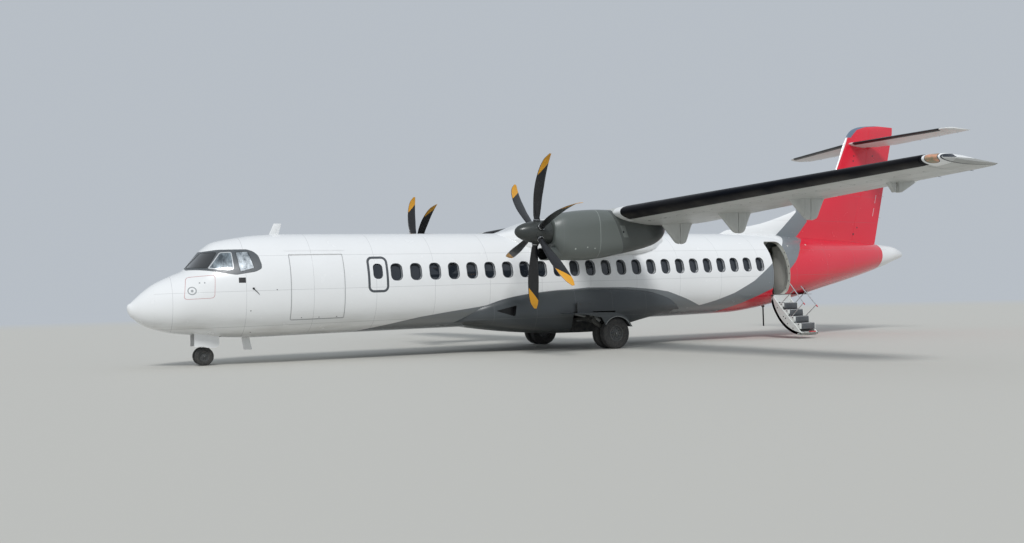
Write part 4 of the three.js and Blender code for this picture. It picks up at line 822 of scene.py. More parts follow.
for name, side in sides:
    seals = shellPart(windowOutlines(0.013), side, -0.02, 0.0012, darkOutline, 5.0, 20.5)
    finishPiece("window_seals_" + name, combine(seals, inward(windowOutlines(), side, darkOutline)))
exitPane = {"x0": 5.735, "x1": 5.995, "z0": 2.06, "z1": 2.46, "radius": 0.11}
for name, side in sides:
    panel = shellPart([doorOutline("exit", 0.004)], side, -0.06, 0, livery.material, 5, 7, darkSteel)
    pane = roundedOutline(*[exitPane[key] for key in ("x0", "x1", "z0", "z1", "radius")])
    panel = combine(panel, pocket([pane], side, 0.035, windowFrame, cabinGlass, 5, 7))
    finishPiece("exit_panel_" + name, panel, replaces="emergency_exit_" + name)
    ringPatch("exit_outline_" + name, *doorFrame("exit", 0.035, 0.155, 0.062), side, 0.0015, darkOutline)

servicePanel = shellPart([doorOutline("service", 0.004)], 1, -0.09, 0, livery.material, 19, 20.4, cabinTrim)
finishPiece("service_door_panel", servicePanel, replaces="service_door")
ringPatch("service_door_outline", *doorFrame("service", 0.02, 0.14, 0.02), 1, 0.0012, fineLine)
cargoPanel = shellPart([doorOutline("cargo", 0.005)], -1, -0.08, 0, livery.material, 3.3, 5.3, cabinTrim)
finishPiece("cargo_door_panel", cargoPanel, rides="cargo_door", replaces="cargo_door")
ringPatch("cargo_door_outline", *doorFrame("cargo", 0.016, 0.045, 0.012), -1, 0.001, fineLine)
hingeCover = roundedOutline(3.53, 5.07, 2.79, 2.87, 0.02, floorSlope)
finishPiece("cargo_hinge_cover", shellPart([hingeCover], -1, -0.02, 0.006, livery.material, 3.3, 5.3))
staticPlate = roundedOutline(2.4, 2.56, 2.006, 2.134, 0.01)
finishPiece("static_plate", shellPart([staticPlate], -1, -0.02, 0.002, blackPaint, 2, 3))
print("doors made")

# Cockpit windows
# Outlines are in station and height, seen from the side


def roundCorners(points, radius, parts=5):
    rounded = []
    for before, corner, after in zip(points[-1:] + points[:-1], points, points[1:] + points[:1]):
        corner = Vector(corner)
        a, b = (Vector(p) - corner for p in (before, after))
        reach = min(radius, a.length * 0.45, b.length * 0.45)
        start, end = corner + a.normalized() * reach, corner + b.normalized() * reach
        for k in range(parts + 1):
            t = k / parts
            rounded.append(tuple(start * (1 - t) ** 2 + corner * 2 * t * (1 - t) + end * t * t))
    return rounded


# Each corner of an outline pushed out by a distance from both its edges
def grownOutline(points, distance):
    area = sum(a[0] * b[1] - b[0] * a[1] for a, b in zip(points, points[1:] + points[:1]))
    turn = 1 if area > 0 else -1
    grown = []
    for before, corner, after in zip(points[-1:] + points[:-1], points, points[1:] + points[:1]):
        corner = Vector(corner)
        first, second = (corner - Vector(before)).normalized(), (Vector(after) - corner).normalized()
        outA, outB = Vector((first.y, -first.x)) * turn, Vector((second.y, -second.x)) * turn
        spread = (outA + outB).normalized()
        grown.append(tuple(corner + spread * distance / max(spread.dot(outA), 0.4)))
    return grown


cockpit = {
    "mask": [(1.25, 2.35), (1.25, 2.6), (1.6, 2.86), (1.66, 2.8), (1.8, 2.815), (2.019, 2.838), (2.66, 2.84),
             (2.8, 2.785), (2.9, 2.68), (2.956, 2.45), (2.95, 2.35), (2.811, 2.274), (2.355, 2.2), (1.758, 2.31),
             (1.5, 2.34)],
    "panes": [
        ("front", [(1.335, 2.412), (1.645, 2.762), (1.955, 2.762), (1.72, 2.385)], 0.012),
        ("second", [(1.767, 2.381), (2.045, 2.748), (2.283, 2.757), (2.29, 2.352), (2.2, 2.335)], 0.02),
        ("third", [(2.394, 2.764), (2.666, 2.781), (2.768, 2.368), (2.451, 2.282)], 0.012),
    ],
    "hatch": [(1.254, 2.167), (1.887, 2.214), (1.86, 1.649), (1.181, 1.625)],
}
paneLook = {
    "front": (cockpitGlass, "windscreen_", blackPaint), "second": (shadeFoil.material, "side_window_", windowFrame),
    "third": (brightFoil.material, None, blackPaint),
}
for name, side in sides:
    mask = shellPart([roundCorners(cockpit["mask"], 0.05)], side, -0.03, 0.0015, maskPaint, 1.0, 3.3)
    finishPiece("cockpit_mask_" + name, mask)
    for kind, outline, width in cockpit["panes"]:
        paneMaterial, node, frameMaterial = paneLook[kind]
        pane = shellPart([roundCorners(outline, 0.03)], side, -0.02, 0.003, paneMaterial, 1.0, 3.3)
        finishPiece("pane_" + kind + "_" + name, pane, replaces=(node + name) if node else ())
        outer = roundCorners(grownOutline(outline, width), 0.045)
        rim = shellPart([outer], side, -0.02, 0.005, frameMaterial, 1.0, 3.3)
        rim = combine(rim, inward([roundCorners(outline, 0.03)], side, frameMaterial))
        finishPiece("pane_frame_" + kind + "_" + name, rim)
    hatch = cockpit["hatch"]
    hatchEdges = roundCorners(hatch, 0.09), roundCorners(grownOutline(hatch, -0.012), 0.08)
    ringPatch("avionics_hatch_line_" + name, *hatchEdges, side, 0.0012, hatchLine)
    x, z, reach = 1.591, 2.027, 0.15
    oval = roundedOutline(x - reach, x + reach, z - 0.085, z + 0.085, 0.084)
    finishPiece("hatch_plate_" + name, shellPart([oval], side, -0.02, 0.0012, whiteGloss.material, 1.0, 2.4))
    dots = [roundedOutline(x + a - 0.018, x + a + 0.018, z - 0.022, z + 0.014, 0.0175) for a in (-0.055, 0.055)]
    finishPiece("hatch_latches_" + name, shellPart(dots, side, -0.02, 0.002, fineLine, 1.0, 2.4))
    x, z = 1.368, 1.834
    ringPatch("hatch_port_rim_" + name, roundedOutline(x - 0.1, x + 0.1, z - 0.1, z + 0.1, 0.099),
              roundedOutline(x - 0.075, x + 0.075, z - 0.075, z + 0.075, 0.074), side, 0.0015, fineLine)
    port = roundedOutline(x - 0.03, x + 0.03, z - 0.03, z + 0.03, 0.029)
    finishPiece("hatch_port_" + name, shellPart([port], side, -0.02, 0.002, fineLine, 1.0, 2.4))
print("cockpit made")

# Fairings


# A smooth curve through some points, with so many parts between each two
def smoothLine(points, parts):
    reach = [0]
    for a, b in zip(points, points[1:]):
        reach.append(reach[-1] + max(math.dist(a, b), 1e-4))
    at = curveThrough([(s, *p) for s, p in zip(reach, points)])
    line = []
    for a, b in zip(reach, reach[1:]):
        line += [at(a + (b - a) * k / parts) for k in range(parts)]
    return line + [list(points[-1])]


def mirroredRing(x, half):
    return [(x, y, z) for y, z in half] + [(x, -y, z) for y, z in reversed(half[1:])]


# Columns: station, side height, bottom, half width
bellyTable = [
    (8.0, 1.05, 0.80, 0.75), (8.4, 1.18, 0.78, 1.08), (9.0, 1.39, 0.69, 1.4), (9.7, 1.54, 0.59, 1.53),
    (10.6, 1.65, 0.49, 1.6), (11.5, 1.71, 0.44, 1.63), (12.5, 1.72, 0.43, 1.63), (13.3, 1.7, 0.53, 1.61),
    (14.25, 1.64, 0.72, 1.53), (15.0, 1.52, 0.85, 1.4), (15.6, 1.38, 0.915, 1.15), (16.0, 1.24, 0.95, 0.8),
]
bellyAt = curveThrough(bellyTable)


def bellyRing(x):
    side, bottom, halfWidth = bellyAt(x)
    low = bottom + (side - bottom) * 0.38
    half = [(0, bottom), (0.45, bottom + 0.008), (0.7, bottom + 0.045), (0.88, bottom + 0.12),
            (0.97, low - 0.06), (1, low + 0.08), (0.985, (low + side) / 2 + 0.06), (0.93, side - 0.04), (0.86, side)]
    return mirroredRing(x, smoothLine([(across * halfWidth, z) for across, z in half], 3))


bm = bmesh.new()
bellyStart, bellyLength, bellyRings = 8.0, 8.0, 80
addLoft(bm, [bellyRing(bellyStart + bellyLength * k / bellyRings) for k in range(bellyRings + 1)])
belly = combine(solidFrom(bm, [bellyPaint.material]), boxes(wheelWells, [bayGrey]))
scoop = roundCorners([(9.2, 1.15), (9.80, 1.29), (9.74, 0.98)], 0.05)
for _, side in sides:
    belly = combine(belly, slabs([scoop], side * cutter["far"], side * 1.36, [blackPaint]))
finishPiece("belly_fairing_shell", belly, replaces="belly_fairing")

# Columns: station, top, half width, edge height
saddleTable = [
    (9.75, 3.36, 0.5, 3.15), (10.2, 3.48, 0.9, 2.96), (10.7, 3.66, 1.22, 2.78), (11.15, 3.79, 1.37, 2.70),
    (11.8, 3.85, 1.425, 2.67), (12.9, 3.83, 1.43, 2.67), (13.8, 3.72, 1.4, 2.69), (14.6, 3.6, 1.25, 2.78),
    (15.3, 3.52, 0.9, 2.98),
]
saddleAt = curveThrough(saddleTable)


def saddleRing(x):
    top, halfWidth, edge = saddleAt(x)
    half = [(0, top), (0.4, top - 0.008), (0.7, top - 0.045), (0.88, top - 0.13), (0.97, top - 0.27),
            (1, (top + edge) / 2 - 0.06), (0.99, edge + 0.14 * (top - edge)), (0.95, edge + 0.05 * (top - edge)),
            (0.86, edge)]
    return mirroredRing(x, smoothLine([(across * halfWidth, z) for across, z in half], 4))


bm = bmesh.new()
saddleStart, saddleLength, saddleRings = 9.75, 5.55, 60
addLoft(bm, [saddleRing(saddleStart + saddleLength * k / saddleRings) for k in range(saddleRings + 1)])
finishPiece("wing_fairing_shell", bm, [whiteGloss.material], replaces="wing_fairing")
print("fairings made")

# Wing
tipLead = wing["lead"] + (wing["halfSpan"] - wing["break"]) * wing["sweep"]
# Columns: half span, leading edge station, its height, chord, trailing edge height, thickness
wingTable = [
    (0, 11.12, 3.59, 2.57, 3.36, 0.44), (4.95, 11.12, 3.59, 2.57, 3.36, 0.44),
    (9.3, 11.12 + 4.35 * 0.0525, 3.625, 2.073, 3.48, 0.33), (13.05, tipLead - 0.025, 3.66, 1.64, 3.575, 0.235),
    (13.4, tipLead + 0.06, 3.662, 1.5, 3.585, 0.17), (13.525, tipLead + 0.33, 3.65, 1.17, 3.6, 0.04),
]
aerofoilPoints = [
    (1, 0.02), (0.85, 0.36), (0.7, 0.66), (0.5, 0.96), (0.35, 1.1), (0.2, 1.04), (0.1, 0.84), (0.04, 0.58),
    (0.01, 0.3), (0, 0), (0.01, -0.28), (0.04, -0.5), (0.1, -0.7), (0.2, -0.86), (0.35, -0.9), (0.5, -0.8),
    (0.7, -0.52), (0.85, -0.27), (1, -0.02),
]
flatten = 0.085
aerofoil = [(a, b / flatten) for a, b in smoothLine([(a, b * flatten) for a, b in aerofoilPoints], 3)]


def wingRow(halfSpan):
    k = next(i for i, row in enumerate(wingTable) if row[0] >= halfSpan)
    low, high = wingTable[max(k - 1, 0)], wingTable[k]
    share = 0 if high[0] == low[0] else (halfSpan - low[0]) / (high[0] - low[0])
    return [a + (b - a) * share for a, b in zip(low, high)]


tipCurve = smoothLine(wingTable[3:], wing["tipRows"])
wingRows = [wingRow(h) for h in (0, 1.5, 3.0, 4.0, 4.95, 6.2, 7.8, 9.3, 10.5, 11.8)] + tipCurve


def wingRing(row, side):
    halfSpan, leadX, leadZ, chord, trailZ, thickness = row
    return [(leadX + along * chord, side * halfSpan,
             leadZ + (trailZ - leadZ) * along + across * thickness / 2) for along, across in aerofoil]


def wingSolid():
    bm = bmesh.new()
    addLoft(bm, [wingRing(row, -1) for row in reversed(wingRows)] + [wingRing(row, 1) for row in wingRows[1:]])
    return solidFrom(bm, [wingPaint.material])


def wingMeanZ(halfSpan, x):
    row = wingRow(halfSpan)
    return row[2] + (row[4] - row[2]) * (x - row[1]) / row[3]


hinge = {"x": 13.0, "forward": 0.028, "bend": 4.45, "flapInner": (1.5, 4.44), "flapOuter": (4.48, 9.63),
         "aileron": (9.68, 13.1), "running": 0.008, "gap": 0.012}


def hingeX(halfSpan):
    return hinge["x"] - max(0, halfSpan - hinge["bend"]) * hinge["forward"]


def behindHinge(start, end, forward, grow):
    a, b = start - grow, end + grow
    line = [h for h in (b, hinge["bend"], a) if a <= h <= b]
    points = [(15, -a), (15, -b)] + [(hingeX(h) - forward, -h) for h in line]
    return prism([(x, y, 2.5) for x, y in points], (0, 0, 1.7), [wingPaint.material])


def mirrorSolid(made):
    bm = bmesh.new()
    bm.from_mesh(made.data)
    bmesh.ops.scale(bm, vec=(1, -1, 1), verts=bm.verts)
    bmesh.ops.reverse_faces(bm, faces=bm.faces)
    bm.to_mesh(made.data)
    bm.free()
    return made


def rodSolid(start, end, radius, endRadius, material, segments=32):
    bm = bmesh.new()
    addRod(bm, start, end, radius, endRadius, segments)
    return solidFrom(bm, [material])


def sideOf(cutPart, side):
    return cutPart if side < 0 else mirrorSolid(cutPart)


def aileronRegion(grow):
    start, end = hinge["aileron"]
    region = behindHinge(start, 13.6, grow, grow)
    ends = [(hingeX(h), -h, wingMeanZ(min(h, 13.5), hingeX(h)) + 0.008) for h in (start - grow, 13.5)]
    finish = wingPaint.material
    region = combine(region, rodSolid(*ends, 0.098 + grow, 0.062 + grow, finish), "UNION")
    region = combine(region, boxes([((10, -13.6, 2.5), (15, -start + grow, 4.2))], [finish]), "INTERSECT")
    return combine(region, boxes([((10, -13.6, 2.5), (15, -end + grow, 4.2))], [finish]), "UNION")


# Under-wing fairings over the flap hinges: half span, lowest height, and the flap behind
hingeFairings = [(2.1, 2.79, "inner"), (4.65, 2.79, "outer"), (6.95, 2.89, "outer"), (9.3, 2.99, "outer")]
fairing = {"front": -0.64, "back": 0.48, "gap": 0.008, "rings": 18, "sides": 18, "notch": 0.08,
           "notchLength": 0.04}
fairingWidth = curveThrough([(-0.64, 0.008), (-0.5, 0.045), (-0.3, 0.07), (-0.1, 0.08), (0.15, 0.078),
                             (0.35, 0.05), (0.48, 0.008)])


def hingeFairing(bm, halfSpan, bottom, start, end, side):
    hingeAt = hingeX(halfSpan)
    front = wingMeanZ(halfSpan, hingeAt - 0.35)
    rear = wingMeanZ(halfSpan, hingeAt + fairing["back"])
    drop = front - 0.06 - bottom
    lowAt = curveThrough([(-0.64, front - 0.06), (-0.45, bottom + drop * 0.66), (-0.26, bottom + drop * 0.33),
                          (-0.08, bottom + 0.02), (0, bottom), (0.08, bottom), (0.19, bottom + 0.03),
                          (0.31, bottom + drop * 0.45), (0.42, rear - 0.09), (0.48, rear - 0.02)])
    rings = []
    for k in range(fairing["rings"] + 1):
        dx = start + (end - start) * k / fairing["rings"]
        top = wingMeanZ(halfSpan, hingeAt + dx)
        fromGap = max(0, 1 - (dx - fairing["gap"]) / fairing["notchLength"])
        notch = fairing["notch"] * fromGap if start > 0 else 0  # clears the fixed half as the flap turns
        low, wide = min(lowAt(dx)[0] + notch, top - 0.005), fairingWidth(dx)[0]
        ring = []
        for i in range(fairing["sides"] + 1):
            angle = math.pi * i / fairing["sides"]
            across = wide * math.copysign(abs(math.cos(angle)) ** 0.55, math.cos(angle))
            ring.append((hingeAt + dx, side * halfSpan + across, top - (top - low) * math.sin(angle) ** 0.7))
        rings.append(ring)
    addLoft(bm, rings)


def aileronFairing(bm, back, side):
    halfSpan, bottom = 11.6, 3.31
    x = hingeX(halfSpan)
    top = wingMeanZ(halfSpan, x)
    outline = ([(x + 0.045, bottom), (x + 0.12, bottom), (x + 0.6, top - 0.01), (x + 0.045, top)] if back
               else [(x - 0.23, top - 0.06), (x - 0.06, bottom), (x - 0.045, bottom), (x - 0.045, top)])
    addPrism(bm, onSide(outline, side * halfSpan - 0.05), (0, 0.1, 0), bevel=0.012)


fixedWing = wingSolid()
for _, side in sides:
    flapCut = behindHinge(hinge["flapInner"][0], hinge["aileron"][0], hinge["running"], hinge["gap"])
    for cut in (flapCut, aileronRegion(hinge["gap"])):
        fixedWing = combine(fixedWing, sideOf(cut, side))
finishPiece("wing_skin", fixedWing, replaces="wing")
bm = bmesh.new()
for _, side in sides:
    for halfSpan, bottom, _ in hingeFairings:
        hingeFairing(bm, halfSpan, bottom, fairing["front"], -fairing["gap"], side)
    aileronFairing(bm, False, side)
finishPiece("hinge_fairings_fixed", bm, [wingPaint.material])
for name, side in sides:
    for kind, key in (("inner", "flapInner"), ("outer", "flapOuter")):
        region = behindHinge(*hinge[key], 0, 0)
        panel = combine(wingSolid(), sideOf(region, side), "INTERSECT")
        finishPiece("flap_panel_" + kind + "_" + name, panel, rides="flap_" + kind + "_" + name,
                    replaces="flap_" + kind + "_" + name)
        bm = bmesh.new()
        for halfSpan, bottom, flap in hingeFairings:
            if flap == kind:
                hingeFairing(bm, halfSpan, bottom, fairing["gap"], fairing["back"], side)
        finishPiece("flap_fairings_" + kind + "_" + name, bm, [wingPaint.material],
                    rides="flap_" + kind + "_" + name)
    panel = combine(wingSolid(), sideOf(aileronRegion(0), side), "INTERSECT")
    finishPiece("aileron_panel_" + name, panel, rides="aileron_" + name, replaces="aileron_" + name)
    bm = bmesh.new()
    aileronFairing(bm, True, side)
    finishPiece("aileron_fairing_" + name, bm, [wingPaint.material], rides="aileron_" + name)
print("wing made")

# Nacelles and propellers
nacelleTable = [
    (9.42, 3.43, 2.7, 0.335), (9.56, 3.515, 2.47, 0.415), (9.76, 3.585, 2.415, 0.46), (10.3, 3.665, 2.395, 0.482),
    (10.83, 3.695, 2.445, 0.485), (11.33, 3.685, 2.53, 0.475), (11.9, 3.59, 2.64, 0.44), (12.48, 3.44, 2.79, 0.34),
    (12.75, 3.37, 2.945, 0.26), (12.92, 3.31, 3.11, 0.12),
]
engine = {"apart": 8.1, "shaftHeight": 3.1, "propStation": 9.06, "intakeFront": 9.25, "intakeBack": 9.9,
          "intakeBottom": 2.405, "intakeTop": 2.72, "intakeHalf": 0.30, "spinnerTip": 8.47}
nacelleAt = curveThrough(nacelleTable)


def nacelleRing(x, y, scale=1.0):
    top, bottom, halfWidth = nacelleAt(x)
    ring = []
    for i in range(64):
        angle = 2 * math.pi * i / 64
        up, out = math.cos(angle), math.sin(angle)
        ring.append((x, y + scale * halfWidth * math.copysign(abs(out) ** 0.7, out),
                     (top + bottom) / 2 + scale * (top - bottom) / 2 * math.copysign(abs(up) ** 0.7, up)))
    return ring


def mouthRing(x, y, inset):
    low, high = engine["intakeBottom"] + inset, engine["intakeTop"] - inset
    half = engine["intakeHalf"] - inset
    corners = [(-half, high), (half, high), (half, low + 0.1), (half - 0.11, low), (-half + 0.11, low),
               (-half, low + 0.1)]
    outline = roundCorners(corners, 0.08, 6)
    return [(x, y + a, b) for a, b in outline]


for name, side in sides:
    y = side * engine["apart"] / 2
    bm = bmesh.new()
    rings = [nacelleRing(9.42, y, 0.94), nacelleRing(9.425, y, 0.98)]
    rings += [nacelleRing(9.43 + 3.49 * k / 70, y) for k in range(71)]
    addLoft(bm, rings)
    shell = solidFrom(bm, [nacellePaint.material])
    bm = bmesh.new()
    addLoft(bm, [mouthRing(x, y, inset) for x, inset in
                 ((engine["intakeFront"], 0.016), (9.254, 0.007), (9.265, 0.002), (9.29, 0),
                  (engine["intakeBack"], 0))])
    shell = combine(shell, solidFrom(bm, [nacellePaint.material]), "UNION")
    bm = bmesh.new()
    addLoft(bm, [mouthRing(x, y, inset) for x, inset in
                 ((9.2, 0.012), (9.252, 0.016), (9.27, 0.026), (9.3, 0.03), (9.45, 0.035), (9.58, 0.06))])
    shell = combine(shell, solidFrom(bm, [blackPaint]))
    finishPiece("nacelle_shell_" + name, shell, replaces="nacelle_" + name)

# Columns: radius, chord, thickness, angle from the disc in degrees, sweep aft, sweep against the turn
bladeTable = [
    (0.11, 0.12, 0.12, 95, 0, 0), (0.26, 0.125, 0.12, 95, 0, 0), (0.42, 0.185, 0.07, 93, -0.01, 0),
    (0.8, 0.25, 0.038, 88, -0.01, 0), (1.2, 0.29, 0.026, 83, 0.015, 0.015), (1.55, 0.265, 0.019, 79, 0.062, 0.05),
    (1.8, 0.2, 0.013, 76, 0.122, 0.095), (1.953, 0.07, 0.008, 74, 0.19, 0.145),
]
bladeSection = [(a, b) for a, b in smoothLine([
    (0.5, 0), (0.44, 0.2), (0.33, 0.37), (0.02, 0.5), (-0.34, 0.4), (-0.47, 0.2), (-0.5, 0), (-0.47, -0.2),
    (-0.34, -0.4), (0.02, -0.5), (0.33, -0.37), (0.44, -0.2), (0.5, 0)], 2)][:-1]
propellerTurn = {"left": -10, "right": 21}


def addBlade(bm, y, turn):
    rows = smoothLine(bladeTable, 6)
    rings = []
    for radius, chord, thickness, degrees, aft, against in rows:
        pitch = math.radians(degrees)
        ring = []
        for along, across in bladeSection:
            x = aft + along * chord * math.sin(pitch) - across * thickness * math.cos(pitch)
            t = -against + along * chord * math.cos(pitch) + across * thickness * math.sin(pitch)
            spot = Matrix.Rotation(turn, 3, "X") @ Vector((x, t, math.sqrt(max(radius * radius - t * t, 0))))
            ring.append((spot.x + engine["propStation"], spot.y + y, spot.z + engine["shaftHeight"]))
        rings.append(ring)
    count = len(bladeSection)
    addLoft(bm, rings, 0, lambda row, column: (bladeSection[column % count][0] + 0.5, rows[row][0] / 2))


for name, side in sides:
    y = side * engine["apart"] / 2
    z = engine["shaftHeight"]
    turns = [math.radians(-propellerTurn[name] + 60 * k) for k in range(6)]
    bm = bmesh.new()
    for turn in turns:
        addBlade(bm, y, turn)
    finishPiece("propeller_blades_" + name, bm, [bladePaint], rides="propeller_" + name,
                replaces="propeller_" + name)
    bm = bmesh.new()
    profile = [(0, 0)]
    for k in range(1, 25):
        t = (k / 24) ** 2
        profile.append((t * 0.9, 0.3 * math.sqrt(1 - (1 - t) ** 2) ** 0.95))
    profile += [(0.91, 0.298), (0.91, 0)]
    addTurned(bm, profile, (engine["spinnerTip"], y, z), (1, 0, 0), 64)
    finishPiece("spinner_shell_" + name, bm, [spinnerPaint], rides="propeller_" + name,
                replaces="spinner_" + name)
    bm = bmesh.new()
    for turn in turns:
        for a, b, r, slot in ((0.20, 0.303, 0.092, 0), (0.303, 0.315, 0.088, 1), (0.315, 0.345, 0.078, 0)):
            points = [Matrix.Rotation(turn, 3, "X") @ Vector((0, 0, h)) for h in (a, b)]
            addRod(bm, *[(engine["propStation"], y + p.y, z + p.z) for p in points], r, r * 0.97, 32, slot)
    addRod(bm, (9.3, y, z), (9.44, y, z), 0.2, 0.2, 32)
    finishPiece("blade_cuffs_" + name, bm, [blackPaint, brightHub], rides="propeller_" + name)
print("engines made")

# Tail


def finTrail(z):
    return 25.73 + (z - 3.22) * 0.278


finThickness = (0.33, 0.32, 0.31, 0.3, 0.295, 0.29, 0.28, 0.225, 0.2, 0.12, 0.024)
finTable = [(z, lead, finTrail(min(z, 7.48)), thickness)
            for (z, lead), thickness in zip(tailPaint["lead"], finThickness)]
finSection = [(a, b / 0.06) for a, b in smoothLine([(a, b * 0.06) for a, b in [
    (1, 0.03), (0.8, 0.4), (0.55, 0.85), (0.35, 1), (0.18, 0.86), (0.07, 0.58), (0.015, 0.28), (0, 0), (0.015, -0.28),
    (0.07, -0.58), (0.18, -0.86), (0.35, -1), (0.55, -0.85), (0.8, -0.4), (1, -0.03)]], 3)]
tailShape = {"height": 6.88, "trail": 26.39, "hinge": 25.78, "from": 0.33, "horn": 3.32, "gap": 0.012}
tailTable = [(h, lead, tailShape["trail"] - lead, t) for h, lead, t in
             [(0, 24.48, 0.21), (3.3, 25.13, 0.15), (3.56, 25.23, 0.115), (3.655, 25.52, 0.024)]]


def finSolid():
    bm = bmesh.new()
    addLoft(bm, [[(lead + a * (trail - lead), b * thickness / 2, z) for a, b in finSection]
                 for z, lead, trail, thickness in smoothLine(finTable, 4)])
    return solidFrom(bm, [tailRed.material])


def rudderHingeX(z):
    return 24.61 + (z - 3.28) * 0.235


def rudderRegion(grow):
    low, high = 2.9, 7.75
    outline = [(rudderHingeX(low) - grow, low), (28, low), (28, high), (rudderHingeX(high) - grow, high)]
    region = prism(onSide(outline, -0.4), (0, 0.8, 0), [tailRed.material])
    nose = rodSolid((rudderHingeX(low), 0, low), (rudderHingeX(high), 0, high), 0.128 + grow, 0.114 + grow,
                    tailRed.material)
    return combine(region, nose, "UNION")


fin = combine(finSolid(), rudderRegion(tailShape["gap"]))
finishPiece("fin_skin", fin, replaces="fin")
rudder = combine(finSolid(), rudderRegion(0), "INTERSECT")
aboveCone = onSide([(24.3, 3.305), (26, 3.18), (28, 3.18), (28, 8), (24.3, 8)], -0.4)
rudder = combine(rudder, prism(aboveCone, (0, 0.8, 0), [tailRed.material]), "INTERSECT")
finishPiece("rudder_panel", rudder, rides="rudder", replaces="rudder")


def tailSolid():
    def ring(row, side):
        halfSpan, lead, chord, thickness = row
        return [(lead + a * chord, side * halfSpan, tailShape["height"] + b * thickness / 2) for a, b in finSection]
    rows = [[a + (b - a) * k / 4 for a, b in zip(tailTable[0], tailTable[1])] for k in range(4)]
    rows += smoothLine(tailTable[1:], 5)
    bm = bmesh.new()
    addLoft(bm, [ring(row, -1) for row in reversed(rows)] + [ring(row, 1) for row in rows[1:]])
    made = solidFrom(bm, [tailWhite.material])
    wedge = [(25.285, 0.19), (25.9, 0.32), (27.5, 1.14)]
    outline = [(x, -y, 6.4) for x, y in wedge] + [(x, y, 6.4) for x, y in reversed(wedge)]
    return combine(made, prism(outline, (0, 0, 0.9), [tailWhite.material]))


def elevatorRegion(grow):
    x, z, start, far = tailShape["hinge"], tailShape["height"], tailShape["from"], 3.76
    finish = tailWhite.material
    region = boxes([((x - grow, -far, z - 0.4), (27.5, -start + grow, z + 0.4))], [finish])
    nose = rodSolid((x, -start + grow, z), (x, -far, z), 0.078 + grow, 0.06 + grow, finish)
    region = combine(region, nose, "UNION")
    horn = boxes([((24, -far, z - 0.4), (27.5, -tailShape["horn"] + grow, z + 0.4))], [finish])
    return combine(region, horn, "UNION")


tailplane = tailSolid()
for _, side in sides:
    tailplane = combine(tailplane, sideOf(elevatorRegion(tailShape["gap"]), side))
finishPiece("tailplane_skin", tailplane, replaces="tailplane")
for name, side in sides:
    elevator = combine(tailSolid(), sideOf(elevatorRegion(0), side), "INTERSECT")
    finishPiece("elevator_panel_" + name, elevator, rides="elevator_" + name, replaces="elevator_" + name)
print("tail made")

# Airstair
stair = {"clear": 0.008, "plate": 0.045, "reach": 1.796, "inset": 0.04, "steps": 4, "ribs": 9,
         "firstY": -1.475, "firstZ": 1.15, "rise": 0.215, "going": 0.24, "depth": 0.27, "thick": 0.2,
         "cap": 0.065, "footY": -2.42, "footTop": 0.205, "footDepth": 0.29, "footThick": 0.095}
frontX, rearX = doors["airstair"]["x0"], doors["airstair"]["x1"]
hingeY, hingeZ = stairHinge


def turnOpen(made, degrees):
    bm = bmesh.new()
    bm.from_mesh(made.data)
    turn = Matrix.Rotation(math.radians(degrees), 3, "X")
    bmesh.ops.rotate(bm, cent=(0, hingeY, hingeZ), matrix=turn, verts=bm.verts)
    bm.to_mesh(made.data)
    bm.free()
    return made


# Keeps a part of the open stair inside what clears the doorway when it swings shut
def stairLimits(made):
    turnOpen(made, -stairOpen)
    inside = slabs([doorOutline("airstair", stair["clear"])], -cutter["out"], 0, [stairWhite])
    made = combine(made, inside, "INTERSECT")
    ends = (frontX - 0.1, hingeY, hingeZ), (rearX + 0.1, hingeY, hingeZ)
    made = combine(made, rodSolid(*ends, stair["reach"], None, stairWhite, 96), "INTERSECT")
    low, high = hingeZ - 0.12, hingeZ + 0.42
    corners = ((hingeY - 0.2, low), (hingeY + 0.7, low), (hingeY + 0.7, high))
    threshold = prism([(frontX - 0.1, a, b) for a, b in corners], (rearX - frontX + 0.2, 0, 0), [stairWhite])
    made = combine(made, threshold)
    pin = rodSolid((frontX - 0.01, hingeY, hingeZ), (rearX + 0.01, hingeY, hingeZ), 0.0265, 0.0385, darkSteel)
    return turnOpen(combine(made, pin), stairOpen)


def stepPlace(k):
    return stair["firstY"] - k * stair["going"], stair["firstZ"] - k * stair["rise"]


doorSkin = shellPart([doorOutline("airstair", stair["clear"])], -1, -0.09, 0, stairLivery.material, 19, 20.3,
                     stairWhite, stairWhite)
finishPiece("airstair_skin", stairLimits(turnOpen(doorSkin, stairOpen)), rides="airstair", replaces="airstair")
plateOutline = [(-1.5, 1.425), (-1.225, 1.425), (-1.19, 1.5), (-1.13, 1.88), (-1.01, 2.455), (-0.85, 3.15),
                (-1.5, 3.15)]
for name, x in (("front", frontX + stair["clear"]), ("rear", rearX - stair["clear"] - stair["plate"])):
    plate = prism([(x, a, b) for a, b in roundCorners(plateOutline, 0.09)], (stair["plate"], 0, 0), [stairWhite])
    plate = combine(plate, hullSolid(grow=-0.001, material=stairWhite, start=19, end=20.3), "INTERSECT")
    finishPiece("stair_side_" + name, stairLimits(turnOpen(plate, stairOpen)), rides="airstair")
